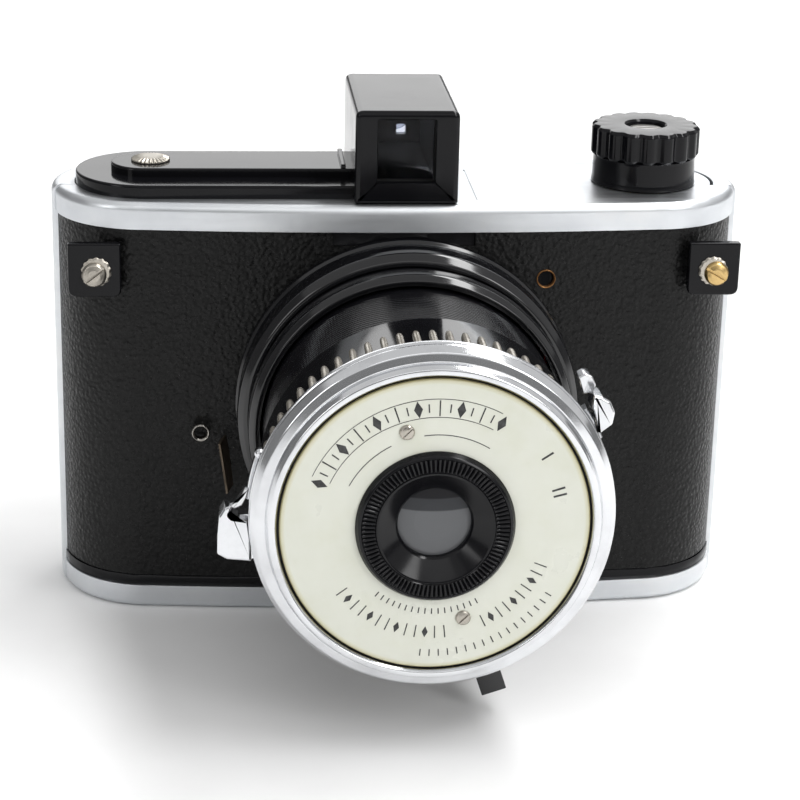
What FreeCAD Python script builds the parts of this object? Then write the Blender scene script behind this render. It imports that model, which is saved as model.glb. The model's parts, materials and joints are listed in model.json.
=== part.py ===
import FreeCAD, Part
import math
import os
import Sketcher

# A viewfinder camera for roll film, in millimetres. +X is to the right seen from
# the front, the lens looks along -Y, +Z is up, and the origin is the centre of the
# bottom plate, on the surface that the camera stands on.

Vector = FreeCAD.Vector
Rotation = FreeCAD.Rotation
X_AXIS = Vector(1, 0, 0)
Z_AXIS = Vector(0, 0, 1)

DIMENSIONS = {
    # body
    "body_width": 116.0,
    "body_depth": 31.08,
    "body_height": 71.74,
    "front_bow": 2.0,
    "plate_gauge": 0.9,
    "plate_corner": 1.4,
    "top_band": 4.43,
    "bottom_band": 4.16,
    "bead_height": 1.75,
    "bead_inset": 0.55,
    "leather_inset": 0.4,
    "leather_gauge": 0.6,
    "shell_wall": 1.3,
    "shell_floor": 1.6,
    "shell_rear": 10.0,
    "rear_inset": 1.5,
    "rear_drop": 0.3,
    "seam_line": -3.4,
    "cover_gauge": 1.0,
    "cover_gap": 0.15,
    "rim_width": 4.0,
    "cutaway_width": 23.4,
    "cutaway_depth": 2.3,
    "pinhole_across": 23.7,
    "pinhole_height": 59.2,
    "pinhole_radius": 1.6,
    "groove_across": 12.1,
    "groove_width": 0.6,
    "groove_depth": 0.2,
    "groove_front": -13.0,
    "groove_back": 6.6,
    # optical axis and barrel; stations run forward from the flat front of the body
    "axis_across": 0.73,
    "axis_height": 37.95,
    "bore_radius": 24.6,
    "boss_radius": 28.3,
    "boss_start": -1.0,
    "flange_start": 1.76,
    "flange_radius": 28.4,
    "flange_end": 10.6,
    "flange_edge": 0.8,
    "flange_screw_seat": 2.0,
    "flange_screw_head": 1.6,
    "flange_screw_rise": 0.9,
    "flange_screw_grip": 3.5,
    "collar_radius": 26.5,
    "collar_end": 16.5,
    "collar_edge": 0.6,
    "tube_radius": 24.25,
    "tube_inner": 22.6,
    "tube_start": 3.0,
    "tube_end": 36.0,
    "stop_inner": 20.0,
    "stop_radius": 23.9,
    "stop_start": 1.3,
    "housing_start": 34.2,
    "housing_radius": 25.5,
    "housing_shoulder": 40.0,
    "housing_inner": 23.4,
    "housing_end": 50.1,
    "grip_start": 41.4,
    "grip_radius": 26.2,
    "grip_tooth": 1.3,
    "grip_count": 66,
    "bezel_radius": 27.25,
    "bezel_side": 52.3,
    "bezel_front": 53.5,
    "bezel_slope": 26.4,
    "bezel_soft": 0.35,
    "lip_radius": 24.75,
    "lip_base": 53.8,
    "lip_front": 55.3,
    "lip_crest": 24.0,
    "lip_inner": 23.2,
    "plate_radius": 23.0,
    "plate_back": 54.3,
    "plate_front": 54.9,
    "cover_back": 52.6,
    "cell_hole": 8.8,
    "ring_radius": 11.85,
    "ring_front": 56.1,
    "ring_edge": 0.5,
    "ring_cone": 9.1,
    "opening_radius": 6.0,
    "opening_back": 50.4,
    "cell_radius": 8.6,
    "cell_bore": 7.4,
    "cell_start": 45.0,
    "cell_rim": 1.0,
    "glass_radius": 7.3,
    "glass_front": 49.8,
    "glass_gauge": 3.0,
    "glass_curve": 22.0,
    "keeper_inner": 6.1,
    "rivet_circle": 15.4,
    "rivet_radius": 1.1,
    "rivet_head": 0.5,
    "rivet_angle": 107.0,
    "rivet_spacing": 181.0,
    "rivet_shank": 0.66,
    "base_gauge": 1.5,
    "base_hole": 4.5,
    "stop_gauge": 0.5,
    "stop_hole": 3.0,
    "stop_margin": 2.0,
    "disc_offset": 8.0,
    "disc_radius": 12.0,
    "disc_gauge": 0.4,
    "disc_window": 3.2,
    "disc_station": 42.6,
    "pivot_radius": 0.8,
    "pivot_clearance": 0.05,
    "pivot_rise": 1.0,
    "pillar_circle": 21.6,
    "pillar_radius": 1.0,
    "rear_cell_start": 35.0,
    "rear_glass_gauge": 2.4,
    "wire_radius": 0.3,
    "spring_radius": 2.0,
    "spring_circle": 17.0,
    "spring_angle": 135.0,
    # levers and foot of the shutter
    "lever_start": 46.2,
    "lever_gauge": 2.2,
    "lever_air": 0.3,
    "arm_inner": 26.6,
    "arm_outer": 27.5,
    "arm_low": 160.0,
    "arm_high": 197.0,
    "link_inner": 20.0,
    "link_width": 2.4,
    "link_inset": 0.2,
    "link_turn": 3.5,
    "tab_overlap": 0.6,
    "stem_inset": 1.0,
    "tab_low": 183.0,
    "tab_outer": 32.0,
    "tab_start": 45.6,
    "tab_end": 49.9,
    "release_swing": 15.0,
    "release_slot_span": 8.0,
    "selector_low": 27.0,
    "selector_high": 34.0,
    "selector_outer": 30.7,
    "selector_start": 43.0,
    "selector_swing": 17.0,
    "slot_margin": 1.2,
    "foot_angle": -71.4,
    "foot_radius": 36.4,
    "foot_width": 4.0,
    "foot_start": 38.4,
    "foot_gauge": 2.2,
    "foot_pad_gauge": 1.0,
    "foot_pad_start": 35.6,
    "foot_screw_radius": 1.3,
    "foot_pad_spread": 7.0,
    "foot_root": 0.3,
    "foot_screw_reach": 0.4,
    "foot_screw_side": 0.4,
    "foot_screw_dome": 0.4,
    # top of the body
    "tier_radius": 12.0,
    "tier_middle": -0.7,
    "tier_left": -53.9,
    "tier_height": 2.2,
    "bar_width": 11.5,
    "bar_left": -48.0,
    "bar_middle": -1.1,
    "bar_height": 1.4,
    "stud_across": -41.4,
    "stud_radius": 3.25,
    "stud_head": 0.8,
    "stud_bevel": 0.32,
    "stud_shank": 1.4,
    "stud_foot": 64.5,
    "finder_left": -8.2,
    "finder_right": 8.75,
    "finder_front": -16.3,
    "finder_back": 13.1,
    "finder_top": 87.2,
    "finder_round": 1.0,
    "finder_undercut": 0.45,
    "finder_seat_back": 11.2,
    "window_left": -4.6,
    "window_right": 4.9,
    "window_low": 75.4,
    "window_high": 85.9,
    "eyepiece_radius": 3.0,
    "eyepiece_inset": 0.4,
    "lens_gauge": 1.2,
    "lens_setback": 2.2,
    # winding gear
    "wind_across": 42.0,
    "wind_middle": -0.7,
    "knob_gap": 0.2,
    "knob_head": 76.7,
    "knob_top": 81.7,
    "knob_radius": 9.15,
    "knob_collar": 8.84,
    "knob_scallop": 1.1,
    "knob_bevel": 0.7,
    "knob_rim": 0.3,
    "knob_scallops": 17,
    "knob_hollow": 6.9,
    "knob_ceiling": 75.8,
    "recess_radius": 3.4,
    "recess_floor": 80.1,
    "knob_screw_shank": 0.98,
    "knob_screw_length": 3.5,
    "knob_screw_gap": 0.3,
    "knob_screw_taper": 0.2,
    "knob_screw_side": 0.8,
    "knob_screw_rise": 1.0,
    "knob_screw_bore": 1.0,
    "knob_screw_depth": 4.0,
    "shaft_radius": 2.5,
    "shaft_clearance": 0.05,
    "shaft_fit": 0.01,
    "shaft_step": 68.9,
    "key_radius": 1.5,
    "key_foot": 64.0,
    "key_shoulder": 3.0,
    "key_length": 4.0,
    "key_half_width": 1.35,
    "key_half_gauge": 0.4,
    "bush_radius": 4.5,
    "bush_flange": 6.2,
    "bush_low": 69.3,
    "bush_lip": 0.9,
    "hole_clearance": 0.1,
    "screw_clearance": 0.05,
    "close_fit": 0.02,
    # film transport
    "spool_radius": 12.25,
    "spool_core": 4.0,
    "spool_flange": 0.8,
    "spool_foot": 3.1,
    "spool_length": 65.6,
    "spool_hole": 1.7,
    "spool_hole_depth": 5.5,
    "seat_radius": 5.0,
    "seat_gauge": 0.45,
    "seat_pin": 1.5,
    "seat_pin_top": 7.0,
    "box_half_width": 26.5,
    "box_half_height": 30.2,
    "box_wall": 1.5,
    "box_rear": 7.6,
    "gate_gauge": 1.2,
    "gate_half_width": 21.0,
    "gate_half_height": 28.0,
    "gate_side": 0.6,
    "gate_foot": 1.0,
    "gate_head": 0.8,
    "rail_gauge": 0.6,
    "rail_width": 1.6,
    "roller_offset": 29.4,
    "roller_radius": 1.8,
    "roller_bore": 0.75,
    "roller_pin": 0.7,
    "roller_low": 6.4,
    "roller_high": 66.0,
    "roller_depth": 6.6,
    "ear_gauge": 1.2,
    "ear_gap": 0.2,
    "ear_reach": 1.44,
    # strap lugs
    "lug_width": 8.6,
    "lug_low": 56.3,
    "lug_high": 65.3,
    "lug_left": -54.7,
    "lug_right": 47.5,
    "lug_front": -16.7,
    "lug_gauge": 1.5,
    "lug_boss": 3.0,
    "lug_boss_length": 12.0,
    "lug_boss_overlap": 0.5,
    "lug_screw_tilt_left": 42.0,
    "lug_screw_tilt_right": -30.0,
    "lug_screw_left": 4.25,
    "lug_screw_right": 4.6,
    "lug_screw_height": 60.2,
    "lug_screw_length": 7.0,
    "screw_seat": -0.6,
    "screw_head": 2.3,
    "screw_dome": 1.1,
    "screw_shank": 1.0,
    "slot_width": 0.6,
    "slot_depth": 0.5,
    # barrel catch
    "catch_pin_across": -32.6,
    "catch_pin_depth": -18.0,
    "catch_height": 32.9,
    "catch_width": 3.3,
    "catch_tall": 6.0,
    "catch_gap": 0.2,
    "catch_arm_gauge": 0.8,
    "catch_arm_tall": 3.2,
    "catch_pin_head": 0.3,
    "catch_face": -16.8,
    "catch_ear": 1.2,
    "catch_hub": 1.4,
    "catch_pin_radius": 0.7,
    "leaf_inner": 31.2,
    "leaf_gauge": 0.8,
    "leaf_low": 188.0,
    "leaf_high": 209.0,
    "leaf_start": 2.2,
    "leaf_length": 5.6,
    # back
    "skin_start": 2.5,
    "skin_inset": 0.1,
    "skin_recess": 0.5,
    "port_offset": 13.0,
    "port_radius": 5.0,
    "port_ring": 6.4,
    "port_lip": 0.8,
    "port_glass": 0.8,
    "pressure_half_width": 27.0,
    "pressure_half_height": 31.0,
    "pressure_gauge": 0.8,
    "pressure_gap": 0.3,
    "press_leaf_gauge": 0.3,
    "press_leaf_span": 16.0,
    "press_leaf_foot": 5.0,
    "press_leaf_width": 4.0,
    "press_leaf_low": 15.0,
    "press_leaf_high": 60.0,
    "latch_across": 37.5,
    "latch_height": 38.0,
    "latch_width": 9.0,
    "latch_tall": 5.0,
    "latch_gauge": 1.3,
    "latch_neck": 2.4,
    "latch_tongue": 0.8,
    "latch_throw": 2.5,
    "latch_air": 0.1,
}

doc = FreeCAD.newDocument("viewfinder_camera")
sheet = doc.addObject("Spreadsheet::Sheet", "dims")
for row, (alias, number) in enumerate(DIMENSIONS.items(), 1):
    sheet.set(f"A{row}", alias)
    sheet.set(f"B{row}", str(number))
    sheet.setAlias(f"B{row}", alias)
doc.recompute()


class Size:
    """A length that carries its value and the spreadsheet formula it comes from."""

    def __init__(self, value, text):
        self.value = value
        self.text = text

    def __add__(self, other):
        other = as_size(other)
        return Size(self.value + other.value, f"({self.text} + {other.text})")

    def __sub__(self, other):
        other = as_size(other)
        return Size(self.value - other.value, f"({self.text} - {other.text})")

    def __mul__(self, other):
        other = as_size(other)
        return Size(self.value * other.value, f"({self.text} * {other.text})")

    def __truediv__(self, other):
        other = as_size(other)
        return Size(self.value / other.value, f"({self.text} / {other.text})")

    def __neg__(self):
        return Size(-self.value, f"(0 - {self.text})")

    def __rmul__(self, other):
        return as_size(other) * self

    def __radd__(self, other):
        return as_size(other) + self

    def __rsub__(self, other):
        return as_size(other) - self


def as_size(number):
    """Wraps a plain number, so that it can stand in a formula."""
    if isinstance(number, Size):
        return number
    return Size(float(number), f"({float(number)})")


class Sheet:
    """The spreadsheet's cells as attributes: D.body_width and so on."""

    def __getattr__(self, alias):
        return Size(float(DIMENSIONS[alias]), f"dims.{alias}")


D = Sheet()
SUBPARTS = {}


def keep(label, obj):
    """Names a finished sub-part and lists it for writing."""
    obj.Label = label
    SUBPARTS[label] = obj
    return obj


def rework(label, obj):
    """Puts a reworked solid in the place of a finished sub-part."""
    SUBPARTS[label].Label = f"{label}_before"
    return keep(label, obj)


def bind(obj, **sizes):
    """Binds an object's own sizes to the spreadsheet."""
    for name, size in sizes.items():
        obj.setExpression(name, as_size(size).text)


def place(obj, x=0, y=0, z=0, turn=None):
    """Puts an object at a bound place, turned by a fixed rotation."""
    if turn is not None:
        obj.Placement = FreeCAD.Placement(Vector(), turn)
    obj.setExpression("Placement.Base.x", as_size(x).text)
    obj.setExpression("Placement.Base.y", as_size(y).text)
    obj.setExpression("Placement.Base.z", as_size(z).text)
    return obj


# local X stays across, local Y becomes up and local Z runs forward, out of the lens
FORWARD = Rotation(X_AXIS, 90)


def on_axis(obj, across=0, up=0, station=0, spin=0.0):
    """Puts an object in the optical frame, at a station ahead of the body's face."""
    turn = FORWARD.multiply(Rotation(Z_AXIS, spin))
    return place(
        obj,
        D.axis_across + across,
        -D.body_depth / 2 - station,
        D.axis_height + up,
        turn,
    )


def cut(base, tools):
    """Base less each tool in turn."""
    result = base
    for tool in tools:
        step = doc.addObject("Part::Cut", f"{base.Name}_less")
        step.Base = result
        step.Tool = tool
        result = step
    return result


def fuse(parts):
    """One solid from several that overlap or touch."""
    result = doc.addObject("Part::MultiFuse", f"{parts[0].Name}_joined")
    result.Shapes = parts
    result.Refine = True
    return result


def common(first, second):
    """What two solids share."""
    result = doc.addObject("Part::Common", f"{first.Name}_shared")
    result.Base = first
    result.Tool = second
    return result


def group(parts):
    """Separate solids of one kind in one sub-part."""
    result = doc.addObject("Part::Compound", f"{parts[0].Name}_set")
    result.Links = parts
    return result


def box(name, low, high):
    """A block between two corners, each a triple of bound sizes."""
    block = doc.addObject("Part::Box", name)
    bind(
        block,
        Length=as_size(high[0]) - low[0],
        Width=as_size(high[1]) - low[1],
        Height=as_size(high[2]) - low[2],
    )
    return place(block, *low)


def rod(name, radius, low, high, x=0, y=0):
    """An upright cylinder."""
    cylinder = doc.addObject("Part::Cylinder", name)
    bind(cylinder, Radius=radius, Height=as_size(high) - low)
    return place(cylinder, x, y, low)


def disc(name, radius, start, end, across=0, up=0):
    """A cylinder along the optical axis, between two stations."""
    cylinder = doc.addObject("Part::Cylinder", name)
    bind(cylinder, Radius=radius, Height=as_size(end) - start)
    return on_axis(cylinder, across, up, start)


def sector(name, inner, outer, start, end, low, high):
    """Part of a ring round the optical axis, between two angles in degrees."""
    solid = doc.addObject("Part::Cylinder", f"{name}_wedge")
    bind(solid, Radius=outer, Height=as_size(end) - start, Angle=as_size(high) - low)
    on_axis(solid, 0, 0, start, as_size(low).value)
    core = disc(f"{name}_core", inner, as_size(start) - 1, as_size(end) + 1)
    return cut(solid, [core])


def radial_bar(name, inner, outer, width, start, end, angle):
    """A straight bar that points away from the optical axis at an angle."""
    bar = doc.addObject("Part::Box", name)
    bind(
        bar,
        Length=as_size(outer) - inner,
        Width=width,
        Height=as_size(end) - start,
    )
    degrees = as_size(angle).value
    along = math.cos(math.radians(degrees))
    aside = math.sin(math.radians(degrees))
    half = as_size(width) / 2
    return on_axis(
        bar,
        as_size(inner) * along + half * aside,
        as_size(inner) * aside - half * along,
        start,
        degrees,
    )


def corner_constraints(sketch, index, x, y):
    """Ties the start of one edge to its bound place."""
    for kind, size, axis in (("DistanceX", x, -2), ("DistanceY", y, -1)):
        if abs(size.value) < 1e-9:
            sketch.addConstraint(Sketcher.Constraint("PointOnObject", index, 1, axis))
            continue
        number = sketch.addConstraint(
            Sketcher.Constraint(kind, -1, 1, index, 1, size.value)
        )
        sketch.setExpression(f"Constraints[{number}]", size.text)


def draw_outline(sketch, points):
    """Draws a closed outline of straight edges, every corner bound to the sheet."""
    corners = [(as_size(x), as_size(y)) for x, y in points]
    count = len(corners)
    for index, (x, y) in enumerate(corners):
        next_x, next_y = corners[(index + 1) % count]
        start = Vector(x.value, y.value, 0)
        end = Vector(next_x.value, next_y.value, 0)
        sketch.addGeometry(Part.LineSegment(start, end), False)
    for index in range(count):
        after = (index + 1) % count
        sketch.addConstraint(Sketcher.Constraint("Coincident", index, 2, after, 1))
    for index, (x, y) in enumerate(corners):
        corner_constraints(sketch, index, x, y)


def origin_plane(body, role):
    """One of a body's own origin planes."""
    for feature in body.Origin.OriginFeatures:
        if feature.Role == role:
            return feature
    raise ValueError(f"no plane {role}")


def attached_sketch(body, name, role):
    """An empty sketch on one of the body's origin planes."""
    sketch = body.newObject("Sketcher::SketchObject", name)
    sketch.AttachmentSupport = [(origin_plane(body, role), "")]
    sketch.MapMode = "FlatFace"
    return sketch


def turned(name, profile):
    """A turned piece: its half section, as radius and height, spun about +Z."""
    body = doc.addObject("PartDesign::Body", name)
    sketch = attached_sketch(body, f"{name}_section", "XZ_Plane")
    draw_outline(sketch, profile)
    spin = body.newObject("PartDesign::Revolution", f"{name}_turning")
    spin.Profile = sketch
    spin.ReferenceAxis = (sketch, ["V_Axis"])
    spin.Angle = 360.0
    return body


def ring(name, inner, outer, start, end):
    """A plain ring on the optical axis."""
    section = [(inner, start), (outer, start), (outer, end), (inner, end)]
    return on_axis(turned(name, section))


def capsule(name, inset, low, high, rounding=None):
    """The body's plan, set in from its edge, as an upright solid.

    The plan has two round ends, a straight back and a front that bows gently
    forward. Rounding softens the edges at the top or the bottom, or both."""
    radius = D.body_depth / 2 - inset
    centre = D.body_width / 2 - D.body_depth / 2
    bow = D.front_bow
    bow_radius = (centre * centre + bow * bow) / (2 * bow)
    body = doc.addObject("PartDesign::Body", name)
    sketch = attached_sketch(body, f"{name}_plan", "XY_Plane")
    left = Vector(-centre.value, 0, 0)
    right = Vector(centre.value, 0, 0)
    hub = Vector(0, bow_radius.value - bow.value - radius.value, 0)
    half = math.asin(centre.value / bow_radius.value)
    quarter = math.pi / 2
    circle_left = Part.Circle(left, Z_AXIS, radius.value)
    circle_right = Part.Circle(right, Z_AXIS, radius.value)
    circle_bow = Part.Circle(hub, Z_AXIS, bow_radius.value)
    sketch.addGeometry(Part.ArcOfCircle(circle_left, quarter, 3 * quarter), False)
    sketch.addGeometry(
        Part.ArcOfCircle(circle_bow, 3 * quarter - half, 3 * quarter + half), False
    )
    sketch.addGeometry(Part.ArcOfCircle(circle_right, -quarter, quarter), False)
    back = Vector(0, radius.value, 0)
    sketch.addGeometry(Part.LineSegment(right + back, left + back), False)
    for first, second in ((0, 1), (1, 2), (2, 3), (3, 0)):
        sketch.addConstraint(Sketcher.Constraint("Coincident", first, 2, second, 1))
    sketch.addConstraint(Sketcher.Constraint("Symmetric", 0, 3, 2, 3, -1, 1))
    sketch.addConstraint(Sketcher.Constraint("PointOnObject", 0, 3, -1))
    sketch.addConstraint(Sketcher.Constraint("Equal", 0, 2))
    for arc in (0, 2):
        for end in (1, 2):
            sketch.addConstraint(Sketcher.Constraint("Vertical", arc, 3, arc, end))
    span = 2 * centre
    for constraint, size in (
        (Sketcher.Constraint("DistanceX", 0, 3, 2, 3, span.value), span),
        (Sketcher.Constraint("Radius", 0, radius.value), radius),
        (Sketcher.Constraint("Radius", 1, bow_radius.value), bow_radius),
    ):
        number = sketch.addConstraint(constraint)
        sketch.setExpression(f"Constraints[{number}]", size.text)
    pad = body.newObject("PartDesign::Pad", f"{name}_pad")
    pad.Profile = sketch
    bind(pad, Length=as_size(high) - low)
    place(body, 0, 0, low)
    if rounding:
        doc.recompute()
        tall = as_size(high).value - as_size(low).value
        levels = {"top": [tall], "bottom": [0.0], "both": [0.0, tall]}[rounding]
        edges = []
        for index, edge in enumerate(pad.Shape.Edges, 1):
            heights = [vertex.Z for vertex in edge.Vertexes]
            for level in levels:
                if all(abs(height - level) < 1e-6 for height in heights):
                    edges.append(f"Edge{index}")
        soft = body.newObject("PartDesign::Fillet", f"{name}_edge")
        soft.Base = (pad, edges)
        bind(soft, Radius=D.plate_corner)
    return body


FAR = 200.0
OVER = 10.0
PILLAR_ANGLES = (90, 215, 325)
BAND_TOP = D.body_height - D.top_band
PLATE_TOP = D.body_height
CAP_LOW = D.plate_gauge
CAP_HIGH = D.body_height - D.plate_gauge
SHELL_INSET = D.leather_inset + D.leather_gauge
HOLLOW_INSET = SHELL_INSET + D.shell_wall
HOLLOW_LOW = CAP_LOW + D.shell_floor
HOLLOW_HIGH = CAP_HIGH - D.shell_floor
FACE = -D.body_depth / 2


def ahead(name):
    """Everything in front of the seam between body and back cover."""
    return box(name, (-FAR, -FAR, -FAR), (FAR, D.seam_line, FAR))


def behind(name):
    """Everything behind the seam."""
    return box(name, (-FAR, D.seam_line, -FAR), (FAR, FAR, FAR))


def screw_places():
    """The strap screws' places across the body."""
    left = D.lug_left + D.lug_screw_left
    right = D.lug_right + D.lug_screw_right
    return {"left": left, "right": right}


def flange_screw_places():
    """Four places between the bore and the flange's edge."""
    circle = (D.bore_radius + D.flange_radius) / 2
    return [
        (circle * math.cos(math.radians(angle)), circle * math.sin(math.radians(angle)))
        for angle in (45, 135, 225, 315)
    ]


def make_body_shell():
    """Moulded body: front and end walls, floor and ceiling, open at the back."""
    front = common(
        capsule("shell_front", SHELL_INSET, CAP_LOW, CAP_HIGH), ahead("shell_ahead")
    )
    low = CAP_LOW + D.rear_drop
    high = CAP_HIGH - D.rear_drop
    rear_space = box(
        "shell_rear_space", (-FAR, D.seam_line, -FAR), (FAR, D.shell_rear, FAR)
    )
    rear = common(capsule("shell_back", D.rear_inset, low, high), rear_space)
    bead_low = D.bottom_band
    bead = common(
        capsule("shell_bead", D.bead_inset, bead_low, bead_low + D.bead_height),
        ahead("bead_ahead"),
    )
    boss = disc("shell_boss", D.boss_radius, D.boss_start, D.flange_start)
    solid = fuse([front, rear, bead, boss])
    hollow = capsule("shell_hollow", HOLLOW_INSET, HOLLOW_LOW, HOLLOW_HIGH)
    bore = disc("shell_bore", D.bore_radius + D.hole_clearance, -OVER, OVER)
    tools = [hollow, bore]
    tools.append(
        rod(
            "shell_bush_hole",
            D.bush_radius + D.hole_clearance,
            HOLLOW_HIGH - 1,
            PLATE_TOP,
            D.wind_across,
            D.wind_middle,
        )
    )
    tools.append(
        rod(
            "shell_stud_hole",
            D.stud_shank + D.hole_clearance,
            HOLLOW_HIGH - 1,
            PLATE_TOP,
            D.stud_across,
            D.bar_middle,
        )
    )
    for side, across in screw_places().items():
        hole = disc(f"shell_screw_hole_{side}", D.screw_shank + D.screw_clearance, -8, 5)
        place(hole, across, FACE + 8, D.lug_screw_height, FORWARD)
        tools.append(hole)
    for number, (across, up) in enumerate(flange_screw_places()):
        tools.append(
            disc(f"shell_flange_hole_{number}", D.screw_shank + D.screw_clearance, -9, 5, across, up)
        )
        tools.append(
            disc(f"shell_flange_seat_{number}", D.flange_screw_seat, -9, D.screw_seat, across, up)
        )
    keep("body_shell", cut(solid, tools))


def make_covering():
    """Grained covering of the front, with the openings that the parts need."""
    low = D.bottom_band + D.bead_height
    outer = capsule("leather_outer", D.leather_inset, low, BAND_TOP)
    inner = capsule("leather_inner", SHELL_INSET, low - 1, BAND_TOP + 1)
    skin = common(outer, ahead("leather_ahead"))
    hole = disc("leather_bore", D.flange_radius + D.hole_clearance, -OVER, OVER)
    notch_low = BAND_TOP - D.cutaway_depth
    notch = box(
        "leather_notch",
        (-D.cutaway_width / 2, -FAR, notch_low),
        (D.cutaway_width / 2, 0, BAND_TOP + 1),
    )
    pinhole = disc("leather_pinhole", D.pinhole_radius, -OVER, OVER)
    place(pinhole, D.pinhole_across, FACE + OVER, D.pinhole_height, FORWARD)
    tools = [inner, hole, notch, pinhole]
    for side, across in screw_places().items():
        screw_hole = disc(f"leather_screw_{side}", D.screw_shank + D.screw_clearance, -OVER, OVER)
        place(screw_hole, across, FACE + OVER, D.lug_screw_height, FORWARD)
        tools.append(screw_hole)
    keep("front_leatherette", cut(skin, tools))


def make_top_plate():
    """Bright cap over the top, its band wrapping the front and the ends."""
    outer = capsule("top_outer", 0, BAND_TOP, PLATE_TOP, "top")
    front = common(outer, ahead("top_ahead"))
    rear_plan = capsule("top_rear", D.rim_width, CAP_HIGH, PLATE_TOP)
    rear = common(rear_plan, behind("top_behind"))
    inner = capsule("top_inner", D.plate_gauge, BAND_TOP - 1, CAP_HIGH)
    bush = rod(
        "top_bush_hole",
        D.bush_radius + D.hole_clearance,
        BAND_TOP,
        PLATE_TOP + 1,
        D.wind_across,
        D.wind_middle,
    )
    stud = rod(
        "top_stud_hole",
        D.stud_shank + D.hole_clearance,
        BAND_TOP,
        PLATE_TOP + 1,
        D.stud_across,
        D.bar_middle,
    )
    groove = box(
        "top_groove",
        (D.groove_across, D.groove_front, PLATE_TOP - D.groove_depth),
        (D.groove_across + D.groove_width, D.groove_back, PLATE_TOP + 1),
    )
    keep("top_plate", cut(fuse([front, rear]), [inner, bush, stud, groove]))


def make_bottom_plate():
    """Bright cap under the body, the same way round."""
    outer = capsule("bottom_outer", 0, 0, D.bottom_band, "bottom")
    front = common(outer, ahead("bottom_ahead"))
    rear_plan = capsule("bottom_rear", D.rim_width, 0, CAP_LOW)
    rear = common(rear_plan, behind("bottom_behind"))
    inner = capsule("bottom_inner", D.plate_gauge, CAP_LOW, D.bottom_band + 1)
    keep("bottom_plate", cut(fuse([front, rear]), [inner]))


def make_top_moulding():
    """Two black tiers beside the finder, and the stud that holds them."""
    tier_top = PLATE_TOP + D.tier_height
    bar_top = tier_top + D.bar_height
    end = rod(
        "tier_end",
        D.tier_radius,
        PLATE_TOP,
        tier_top,
        D.tier_left + D.tier_radius,
        D.tier_middle,
    )
    run = box(
        "tier_run",
        (D.tier_left + D.tier_radius, D.tier_middle - D.tier_radius, PLATE_TOP),
        (D.finder_left, D.tier_middle + D.tier_radius, tier_top),
    )
    half = D.bar_width / 2
    bar_end = rod(
        "bar_end", half, tier_top, bar_top, D.bar_left + half, D.bar_middle
    )
    bar_run = box(
        "bar_run",
        (D.bar_left + half, D.bar_middle - half, tier_top),
        (D.finder_left, D.bar_middle + half, bar_top),
    )
    hole = rod(
        "tier_hole",
        D.stud_shank + D.hole_clearance,
        PLATE_TOP - 1,
        bar_top + 1,
        D.stud_across,
        D.bar_middle,
    )
    keep("top_moulding", cut(fuse([end, run, bar_end, bar_run]), [hole]))
    stud = turned(
        "stud_turning",
        [
            (0, D.stud_foot),
            (D.stud_shank, D.stud_foot),
            (D.stud_shank, bar_top),
            (D.stud_radius, bar_top),
            (D.stud_radius, bar_top + D.stud_head - D.stud_bevel),
            (D.stud_radius - 2 * D.stud_bevel, bar_top + D.stud_head),
            (0, bar_top + D.stud_head),
        ],
    )
    keep("bar_stud", place(stud, D.stud_across, D.bar_middle, 0))


def make_finder():
    """Finder: a black tunnel with a lens at each end."""
    block = doc.addObject("Part::Box", "finder_block")
    bind(
        block,
        Length=D.finder_right - D.finder_left,
        Width=D.finder_back - D.finder_front,
        Height=D.finder_top - PLATE_TOP,
    )
    place(block, D.finder_left, D.finder_front, PLATE_TOP)
    doc.recompute()
    soft = doc.addObject("Part::Fillet", "finder_soft")
    soft.Base = block
    top = D.finder_top.value
    edges = []
    for index, edge in enumerate(block.Shape.Edges, 1):
        heights = [vertex.Z for vertex in edge.Vertexes]
        upright = abs(heights[0] - heights[1]) > 1e-6
        if upright or all(abs(height - top) < 1e-6 for height in heights):
            edges.append((index, D.finder_round.value, D.finder_round.value))
    soft.Edges = edges
    seat = PLATE_TOP + D.finder_undercut
    overhang_back = box(
        "finder_overhang_back",
        (-FAR, D.finder_seat_back, PLATE_TOP - 1),
        (FAR, FAR, seat),
    )
    tunnel = box(
        "finder_tunnel",
        (D.window_left, -FAR, D.window_low),
        (D.window_right, D.finder_back - D.lens_setback, D.window_high),
    )
    middle = (D.window_left + D.window_right) / 2
    level = (D.window_low + D.window_high) / 2
    eyehole = disc("finder_eyehole", D.eyepiece_radius, -FAR, FAR)
    place(eyehole, middle, FAR / 10, level, FORWARD)
    keep("finder_housing", cut(soft, [overhang_back, tunnel, eyehole]))
    front_y = D.finder_front + D.lens_setback
    pane = box(
        "finder_pane",
        (D.window_left, front_y, D.window_low),
        (D.window_right, front_y + D.lens_gauge, D.window_high),
    )
    keep("finder_front_lens", pane)
    eyepiece = doc.addObject("Part::Cylinder", "eyepiece_disc")
    bind(eyepiece, Radius=D.eyepiece_radius - D.close_fit, Height=D.lens_gauge)
    place(eyepiece, middle, D.finder_back - D.eyepiece_inset, level, FORWARD)
    keep("finder_eyepiece", eyepiece)


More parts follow.
